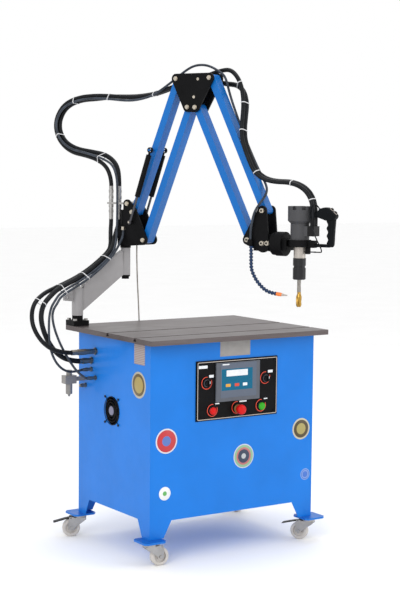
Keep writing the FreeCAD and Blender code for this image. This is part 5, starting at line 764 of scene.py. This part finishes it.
# Turn, dip and roll in degrees.
CAMERA_ANGLES = (-33.78, 5.08, 0.58)
CAMERA_PLACE = (-3.328, -5.002, 1.549)
SENSOR_HEIGHT = 36.0
LENS = 86.3
FLOOR_CORNERS = ((-30, -30, 0), (30, -30, 0), (30, 30, 0), (-30, 30, 0))
# Name, place, aim, size across and power of each soft box.
SOFT_BOXES = (
    ("key", (-4.2, -3.2, 3.4), (0, 0, 0.9), 3.0, 100),
    ("fill", (3.6, -4.0, 2.2), (0, 0, 1.0), 3.0, 50),
    ("top", (0.4, 0.2, 4.6), (0, 0, 0.9), 2.6, 40),
)

HOSE_SIDES = 24
TIE_WIDTH = 0.0038
TIE_THICKNESS = 0.0012
# Jointed coolant hose: ball sockets, their profile along one pitch as shares, and the nozzle's outline.
JOINTS = 19
JOINT_STEPS = 12
JOINT_SHARES = (0.0, 0.08, 0.2, 0.35, 0.62, 0.7, 0.8, 0.92, 1.0)
JOINT_RADII = (4.6, 6.2, 7.6, 8.2, 8, 6.8, 5.2, 4.6, 4.6)
NOZZLE_PROFILE = ((0, -2), (7.4, -2), (7.8, 4), (7.6, 16), (6, 21), (0, 21))
NOZZLE_TIP = ((0, 20), (5.2, 20), (4.6, 27), (4.6, 31), (3.6, 32), (3, 43), (2.4, 45), (0, 45))
VALVE_LOW = (0.640, -0.058, 0.0231)
VALVE_HIGH = (0.662, -0.040, 0.0490)

# Panel, its screen and the walls that carry labels.
PANEL_FRONT = -0.294
FRONT_WALL = -0.287
LEFT_WALL = -0.4015
PANEL_MIDDLE = (0.0096, 0.679)
PANEL_SIZE = (0.401, 0.242)
BORDER_INSET = 0.0045
BORDER_WIDTH = 0.0028
RING_RADIUS = 0.0255
RING_WIDTH = 0.003
RING_SWEEP = (80, 385)
RINGS = {"left_knob": (-0.1425, 0.711), "right_knob": (0.1465, 0.713), "red": (-0.114, 0.599), "stop": (0.006, 0.601),
         "green": (0.126, 0.6)}
# Place and size of each bare name bar, and below with its colour of each bar on the screen.
NAME_BARS = (((-0.160, 0.776), (0.042, 0.012)), ((-0.120, 0.737), (0.022, 0.011)), ((0.172, 0.738), (0.024, 0.011)),
             ((-0.090, 0.6245), (0.020, 0.0045)), ((0.036, 0.6245), (0.036, 0.006)),
             ((0.150, 0.6265), (0.018, 0.0045)))
SCREEN_MIDDLE = (0.0115, 0.7147)
SCREEN_SIZE = (0.177, 0.140)
SCREEN_LIFT = 0.003
SCREEN_BARS = (((0.0035, 0.7437), (0.105, 0.025), "white"), ((-0.040, 0.695), (0.024, 0.012), "amber"),
               ((0.003, 0.695), (0.022, 0.012), "ring_print"), ((0.043, 0.695), (0.022, 0.012), "white"),
               ((-0.052, 0.780), (0.034, 0.005), "white"))
BUTTON_PROFILE = ((0, 0), (12.2, 0), (12.2, 17.7), (15.5, 17.9), (15.5, 21.2), (14.2, 23), (13.4, 23.2), (12.4, 24.6),
                  (9.6, 26.3), (5, 27.3), (0, 27.5))
STOP_PROFILE = ((0, 0), (11, 0), (11.2, 20), (13.5, 26), (18.5, 34), (20.3, 42), (20.3, 48), (18.8, 52.5), (15, 55.5),
                (8, 57.2), (0, 58))
KNOB_PROFILE = ((0, 0), (11.5, 0), (11.5, 22), (13.2, 22.5), (13.6, 27), (12.8, 31.5), (11.8, 32.5), (0, 32.5))
KNOB_BLOCKS = (("_pointer", (-0.0032, -0.0085, -0.0115), (0.0032, 0.001, 0.0115), 0.002, "dark_plastic"),
               ("_mark", (-0.0012, -0.0089, 0.001), (0.0012, -0.0079, 0.0105), 0.0004, "white"))
TURNED_CONTROLS = {
    "red_button": ("red_button_pushed", BUTTON_PROFILE, "red", "red_plastic"),
    "green_button": ("green_button_pushed", BUTTON_PROFILE, "green", "green_plastic"),
    "stop_button": ("stop_button_pushed", STOP_PROFILE, "red", "red_plastic"),
    "left_knob": ("left_knob_turning", KNOB_PROFILE, "dark_plastic", "black_plastic"),
    "right_knob": ("right_knob_turning", KNOB_PROFILE, "dark_plastic", "black_plastic"),
}
# Wall, place, radius, and the rings' colours from the shares of the radius where they start.
STICKERS = {
    "sticker_red": ("front", (-0.326, 0.493), 0.050, "red ringed print", (
        (0, (0.08, 0.15, 0.42)), (0.40, (0.46, 0.022, 0.028)), (0.88, (0.60, 0.58, 0.60)))),
    "sticker_tick": ("front", (-0.332, 0.284), 0.027, "green ringed print", (
        (0, (0.10, 0.36, 0.09)), (0.34, (0.72, 0.73, 0.72)))),
    "sticker_parts": ("front", (0.048, 0.396), 0.050, "pale ringed print", (
        (0, (0.42, 0.44, 0.46)), (0.22, (0.020, 0.032, 0.070)), (0.56, (0.42, 0.13, 0.13)),
        (0.72, (0.22, 0.40, 0.24)), (0.92, (0.50, 0.52, 0.60)))),
    "sticker_gold": ("front", (0.342, 0.482), 0.045, "gold ringed print", (
        (0, (0.34, 0.28, 0.09)), (0.52, (0.06, 0.04, 0.012)), (0.84, (0.48, 0.44, 0.32)))),
    "sticker_blue": ("front", (0.367, 0.286), 0.024, "blue ringed print", (
        (0, (0.04, 0.14, 0.50)), (0.55, (0.20, 0.30, 0.60)), (0.72, (0.04, 0.14, 0.50)), (0.88, (0.22, 0.34, 0.62)))),
    "sticker_side": ("left", (-0.199, 0.710), 0.053, "gold side print", (
        (0, (0.33, 0.25, 0.07)), (0.62, (0.10, 0.065, 0.018)), (0.84, (0.40, 0.37, 0.29)))),
}
NAME_PLATES = {
    "plate_front": ("front", (0.0, 0.842), (0.148, 0.060), "plate"),
    "plate_side": ("left", (-0.204, 0.832), (0.080, 0.080), "striped_plate"),
}
# Grip and head, round the spindle's axis.
GRIP_LOW = -0.006
GRIP_HIGH = 0.112
GRIP_INNER = 0.125
GRIP_OUTER = 0.153
GRIP_ROWS = 90
GRIP_SIDES = 32
GRIP_GROOVES = 4
GRIP_END = 0.12
GRIP_END_WIDTH = 0.35
GRIP_SQUARENESS = 0.7
GROOVE_DEPTH = 0.003
INNER_LEAN = 0.004
OUTER_LEAN = 0.007
OUTER_HOLLOW = 0.001
GRIP_HALF_WIDTH = 0.014
HEAD_HALF_WIDTH = 0.0165
HEAD_ROUNDING = 0.16
HEAD_OUTLINE = ((0.078, 0.111), (0.073, 0.126), (0.086, 0.140), (0.106, 0.151), (0.131, 0.151), (0.149, 0.136),
                (0.167, 0.121), (0.163, 0.108), (0.155, 0.101), (0.125, 0.096), (0.100, 0.105))
HANDLE_BLOCKS = (
    ("handle_bar", (0.070, -0.0095, -0.0075), (0.138, 0.0095, 0.0055), 0.005, "grip"),
    ("handle_block", (0.040, -0.014, -0.011), (0.073, 0.014, 0.018), 0.003, "black"),
    ("lever_block", (0.028, -0.009, -0.037), (0.046, 0.009, -0.009), 0.003, "black"),
)
LEVER_FOOT = (0.037, 0, -0.028)
LEVER_PROFILE = ((0, 0), (2.6, 0), (2.6, 29), (3.4, 30), (3.4, 33.5), (0, 34))
GLAND_FOOT = (0.0915, 0, 0.1365)
GLAND_TILT = math.radians(35.8)
GLAND_PROFILE = ((0, -6), (6.8, -6), (6.8, 1), (5.6, 2), (5.6, 7), (4, 10.5), (2.8, 12), (0, 12))
THUMB_TILT = math.radians(40.4)
THUMB_START = (0.130, 0.150)
THUMB_RUN = (0.0358, -0.0305)
THUMB_LIFT = 0.0015
# Each thumb button's share of the way along the slanting face, and its slot.
THUMB_BUTTONS = {"near": (0.3, "green_plastic"), "far": (0.72, "red_plastic")}
THUMB_RIM = ((6.6, -3), (8.7, -3), (8.7, 0.6), (8, 1.6), (7, 1.6), (6.6, 1))
THUMB_CAP = ((0, -1), (6, -1), (6, 4.5), (5.2, 5.6), (3, 6.2), (0, 6.4))
# Tap: heights over its tip, radii and depth of its flutes there, and how fast they wind round.
TAP_RISES = (0.0, 0.002, 0.010, 0.040, 0.045, 0.052, 0.150)
TAP_RADII = (0.0075, 0.0090, 0.0112, 0.0112, 0.0100, 0.0078, 0.0078)
TAP_FLUTES = (0.45, 0.42, 0.40, 0.40, 0.34, 0.22, 0.10)
TAP_TWIST = 95.0
TAP_ROWS = 220
TAP_SIDES = 60
THREAD_DEPTH = 0.00025
THREAD_PITCH = 0.002
PLATE_OUTSIDE = 0.040
SCREW_PROFILE = ((0, 0), (9.8, 0), (9.8, 1.6), (9.2, 1.8), (9.2, 6.2), (8.4, 7), (4.6, 7), (4.4, 6.2), (4.4, 4),
                 (0, 4))
# Places (reach, rise) of the head's screws in the arm's frame.
HEAD_BOLTS = ((0.6968, 0.1652), (0.6291, 0.0461), (0.6980, 0.0340), (0.7220, 0.0350))
HUB_PROFILE = ((0, 0), (18.5, 0), (18.5, 2.2), (17.5, 3), (0, 3))
HUB_FOOT = (-0.4035, 0.008, 0.578)
COLLAR_PROFILE = ((0, 0), (17.5, 0), (17.5, 4.5), (16, 6), (0, 6))
COLLAR_FOOT = (0.010, -0.294, 0.596)
CABINET_BUNDLE = ("pressure_to_arm", "return_to_arm", "coolant_to_arm", "sensor_to_arm")
LOWER_BUNDLE = ("pressure_lower", "return_lower", "coolant_lower")
UPPER_BUNDLE = ("pressure_upper", "return_upper")
ACROSS_BUNDLE = ("pressure_across", "return_across")
HEAD_BUNDLE = ("pressure_head", "return_head")
# The hoses in each tie, and its place in the room in millimetres.
TIES = (
    (CABINET_BUNDLE[:2], (-629, 230, 1022)), (CABINET_BUNDLE, (-504, 288, 1068)), (CABINET_BUNDLE, (-375, 320, 1113)),
    (CABINET_BUNDLE, (-262, 328, 1186)), (LOWER_BUNDLE, (-280, 704, 1701)), (LOWER_BUNDLE, (-237, 636, 1863)),
    (LOWER_BUNDLE, (-154, 463, 1874)), (LOWER_BUNDLE, (-54, 251, 1880)), (LOWER_BUNDLE, (-207, 464, 1593)),
    (UPPER_BUNDLE, (98, -157, 1915)), (UPPER_BUNDLE, (94, -188, 1836)), (UPPER_BUNDLE, (69, -216, 1718)),
    (ACROSS_BUNDLE, (80, -299, 1551)), (HEAD_BUNDLE, (167, -420, 1509)), (HEAD_BUNDLE, (204, -501, 1446)),
)

ARM_BODIES = ("arm_base", "lower_a", "elbow", "upper_c", "head", "tool")
# Where each hose starts to leave its first body and where it has joined the second.
BENDS = {
    ("bench", "swing"): ((-0.62, 0.17, 0.95), (-0.42, 0.30, 1.09)),
    ("swing", "arm_base"): ((-0.245, 0.32, 1.20), (-0.19, 0.38, 1.32)),
    ("arm_base", "lower_a"): ((-0.2, 0.0, 0.30), (-0.2, 0.05, 0.64)),
    ("lower_a", "elbow"): ((0.27, 0.06, 0.70), (0.42, 0.06, 0.70)),
    ("elbow", "upper_c"): ((0.46, 0.05, 0.715), (0.60, 0.0, 0.50)),
    ("upper_c", "head"): ((0.62, -0.02, 0.385), (0.725, -0.02, 0.27)),
    ("head", "tool"): ((0.74, -0.02, 0.285), (0.89, -0.01, 0.23)),
}
# Each hose: the kept node it replaces, the two bodies that hold its ends, and its route's places in millimetres, one
# after another. The first two groups stand in the room's frame, the others in the arm's, above its foot.
ROUTES = (
    ("hoses_cabinet", ("bench", "swing"), {
        "pressure_to_arm": (-516.5, 142, 808, -562, 142, 811, -626, 146, 837, -668, 158, 888, -680, 182, 945,
            -655, 215, 1006, -592, 252, 1044, -508, 289, 1066, -388, 320, 1104, -300, 326, 1156, -257, 329, 1190),
        "return_to_arm": (-463.5, 175, 766, -512, 176, 772, -562, 178, 800, -600, 182, 848, -624, 188, 905,
            -630, 196, 958, -610, 212, 1004, -562, 236, 1038, -508, 268, 1064, -388, 299, 1104, -300, 305, 1156,
            -257, 308, 1190),
        "coolant_to_arm": (-448.5, 175, 729, -490, 172, 722, -536, 168, 732, -574, 163, 764, -598, 161, 808,
            -607, 165, 856, -605, 172, 908, -597, 184, 956, -580, 200, 992, -550, 222, 1017, -508, 254, 1046,
            -388, 282, 1094, -303, 286, 1146, -262, 289, 1180),
        "sensor_to_arm": (-448.5, 141, 697, -476, 143, 714, -506, 151, 752, -534, 160, 800, -560, 164, 850,
            -580, 170, 905, -586, 180, 955, -572, 194, 985, -545, 214, 1004, -508, 246, 1034, -388, 271, 1084,
            -308, 275, 1136, -268, 278, 1170),
        "earth_lead": (-95.5, 326, 1168, -93, 329, 1140, -84, 338, 1060, -72, 350, 989, -60, 364, 920, -51, 374, 862,
            -48, 377, 806, -48, 371, 757, -48, 350, 718, -48, 322, 703, -48, 301, 703),
    }),
    ("hoses_swing", ("swing", "arm_base"), {
        "pressure_to_coupler": (-257, 329, 1190, -232, 330.7, 1209.8, -217, 343, 1238, -206, 363, 1270,
            -193, 385, 1301, -183.9, 396.5, 1324, -183.9, 396.5, 1343),
        "return_to_coupler": (-257, 308, 1190, -232, 309.7, 1209.8, -214, 322, 1238, -198, 340, 1268, -180, 353, 1299,
            -167.2, 359, 1322, -167.2, 359, 1343),
        "coolant_past_coupler": (-262, 289, 1180, -240, 291.1, 1198.2, -222, 299, 1224, -207, 311, 1258,
            -199, 322, 1302, -195, 326, 1352, -195, 326, 1416),
        "sensor_to_base": (-268, 278, 1170, -247, 279.9, 1188, -227, 281, 1213, -209, 284, 1239, -193, 287, 1264,
            -186.7, 289, 1284, -186.5, 289.1, 1300),
        "earth_to_base": (-95.5, 326, 1168, -98, 323, 1196, -100, 319, 1232),
    }),
    ("hoses_lower", ("arm_base", "lower_a"), {
        "pressure_lower": (-77, 0, 254, -77.4, 0, 274, -87, -2, 312, -110, 0, 342, -160, 8, 368, -225, 16, 384,
            -311, 26, 398, -380, 35, 440, -413, 40, 498, -411, 45, 556, -369, 48, 613, -292, 50, 640, -206, 52, 646,
            -127, 54, 643, -35, 58, 635, 28, 60, 636, 108, 60, 646, 192, 60, 675, 262, 60, 689),
        "return_lower": (-36, 0, 254, -36.4, 0, 276, -45, 6, 322, -70, 14, 358, -125, 25, 388, -205, 37, 400,
            -302, 47, 413, -374, 56, 446, -408, 61, 499, -406, 66, 555, -366, 69, 606, -290, 71, 630, -206, 73, 633,
            -127, 75, 641, -35, 79, 638, 28, 81, 640, 108, 81, 650, 192, 81, 675, 262, 81, 689),
        "coolant_lower": (-17.3, -38.8, 184, -18, -37, 240, -28, -30, 300, -56, -22, 346, -105, -15, 368,
            -160, -7, 383, -225, 1, 398, -306, 11, 412, -370, 20, 450, -400, 25, 502, -398, 30, 552, -360, 34, 602,
            -288, 36, 627, -206, 38, 634, -127, 40, 630, -35, 44, 620, 28, 46, 622, 108, 47, 640, 180, 48, 682,
            232, 48, 716),
    }),
    ("hoses_elbow", ("lower_a", "elbow"), {
        "pressure_elbow": (262, 60, 689, 316, 60, 699.8, 360, 61, 714, 398, 60, 727, 428, 57.5, 733),
        "return_elbow": (262, 81, 689, 316, 81, 699.8, 360, 82, 700, 402, 81, 693, 430, 78.5, 687),
        "coolant_elbow": (232, 48, 716, 270, 47.5, 741, 312, 45, 759, 358, 42, 762, 400, 38, 753, 424, 35, 741),
    }),
    ("hoses_upper", ("elbow", "upper_c"), {
        "pressure_upper": (428, 57.5, 733, 453, 55.4, 738, 486, 49, 737, 515, 42, 720, 541, 34, 690, 560, 26, 650,
            572, 16, 600, 577, 2, 548, 583, -17, 490, 600, -34, 434, 628, -40, 381),
        "return_upper": (430, 78.5, 687, 455, 76.3, 681.6, 488, 70, 679, 520, 61, 672, 547, 53, 653, 564, 45, 626,
            574, 38, 592, 578, 24, 548, 584, 4, 490, 600, -13, 434, 628, -19, 381),
        "coolant_upper": (424, 35, 741, 446, 32.3, 730, 468, 33, 714, 481, 33, 688, 491, 33, 652, 509, 33, 602,
            538, 33, 533, 581, 33, 438, 605, 33, 391),
    }),
    ("hoses_upper", ("upper_c", "head"), {
        "coolant_down": (605, 33, 391, 629, 33, 344, 666.8, 32, 282.2, 691.8, 10, 253.2, 701.8, -18, 227.2,
            690.8, -44, 197.2, 667, -52, 158, 652.8, -50, 98, 650.8, -49, 67.2, 650.8, -49, 49),
    }),
    ("hoses_head", ("upper_c", "head"), {
        "pressure_across": (628, -40, 381, 643, -43.2, 352.6, 661, -43, 322, 685, -38, 300, 714, -31, 287,
            733.5, -26.5, 283.75),
        "return_across": (628, -19, 381, 643, -22.2, 352.6, 661, -22, 322, 685, -17, 301, 714, -10, 288,
            733.5, -5.5, 285),
    }),
    ("hoses_head", ("head", "tool"), {
        "pressure_head": (733.5, -26.5, 283.75, 753, -22, 280.5, 800, -12, 280, 846, -9, 268, 883, -10, 244,
            906, -10.5, 208, 911.6, -10.5, 171, 912, -10.5, 138),
        "return_head": (733.5, -5.5, 285, 753, -1, 282, 800, 9, 282, 846, 12, 270, 883, 11.5, 245, 906, 10.5, 208,
            911.6, 10.5, 171, 912, 10.5, 138),
    }),
    ("handle_lead", ("tool", "tool"), {
        "button_lead": (936.3, 0, 177.2, 930.4, 0, 185.3, 926, -8, 193, 919, -19, 196, 911, -26, 187, 907, -27, 167,
            910, -31, 141, 917, -33, 113, 929, -31, 81, 942, -25, 49, 952, -17, 27, 954, -8, 7, 942, 0, 5, 920, 0, 5),
    }),
)
# Radius and cover of each kind of hose, by the first word of its name.
HOSE_KINDS = {
    "pressure": (0.009, "rubber"), "return": (0.0105, "rubber"), "coolant": (0.005, "thin_rubber"),
    "sensor": (0.005, "thin_rubber"), "earth": (0.003, "grey_lead"), "button": (0.0024, "rubber"),
}
HOSES = {name: (points, *HOSE_KINDS[name.split("_")[0]], node, bodies)
         for node, bodies, routes in ROUTES for name, points in routes.items()}
# Route of the jointed coolant hose.
NOZZLE_HOSE = ((654, -49, 23), (655, -49, -27), (655, -48, -67), (663, -46, -90), (677, -44, -115), (696, -41, -137),
               (718, -38, -155), (745, -35, -165), (768, -33, -167))

dress_nodes()
make_camera()
hose_paths = make_hoses()
make_ties(hose_paths)
make_coolant_line()
make_panel()
make_controls()
make_labels()
make_handle()
make_tap()
make_bolts()
make_stage()
make_light()
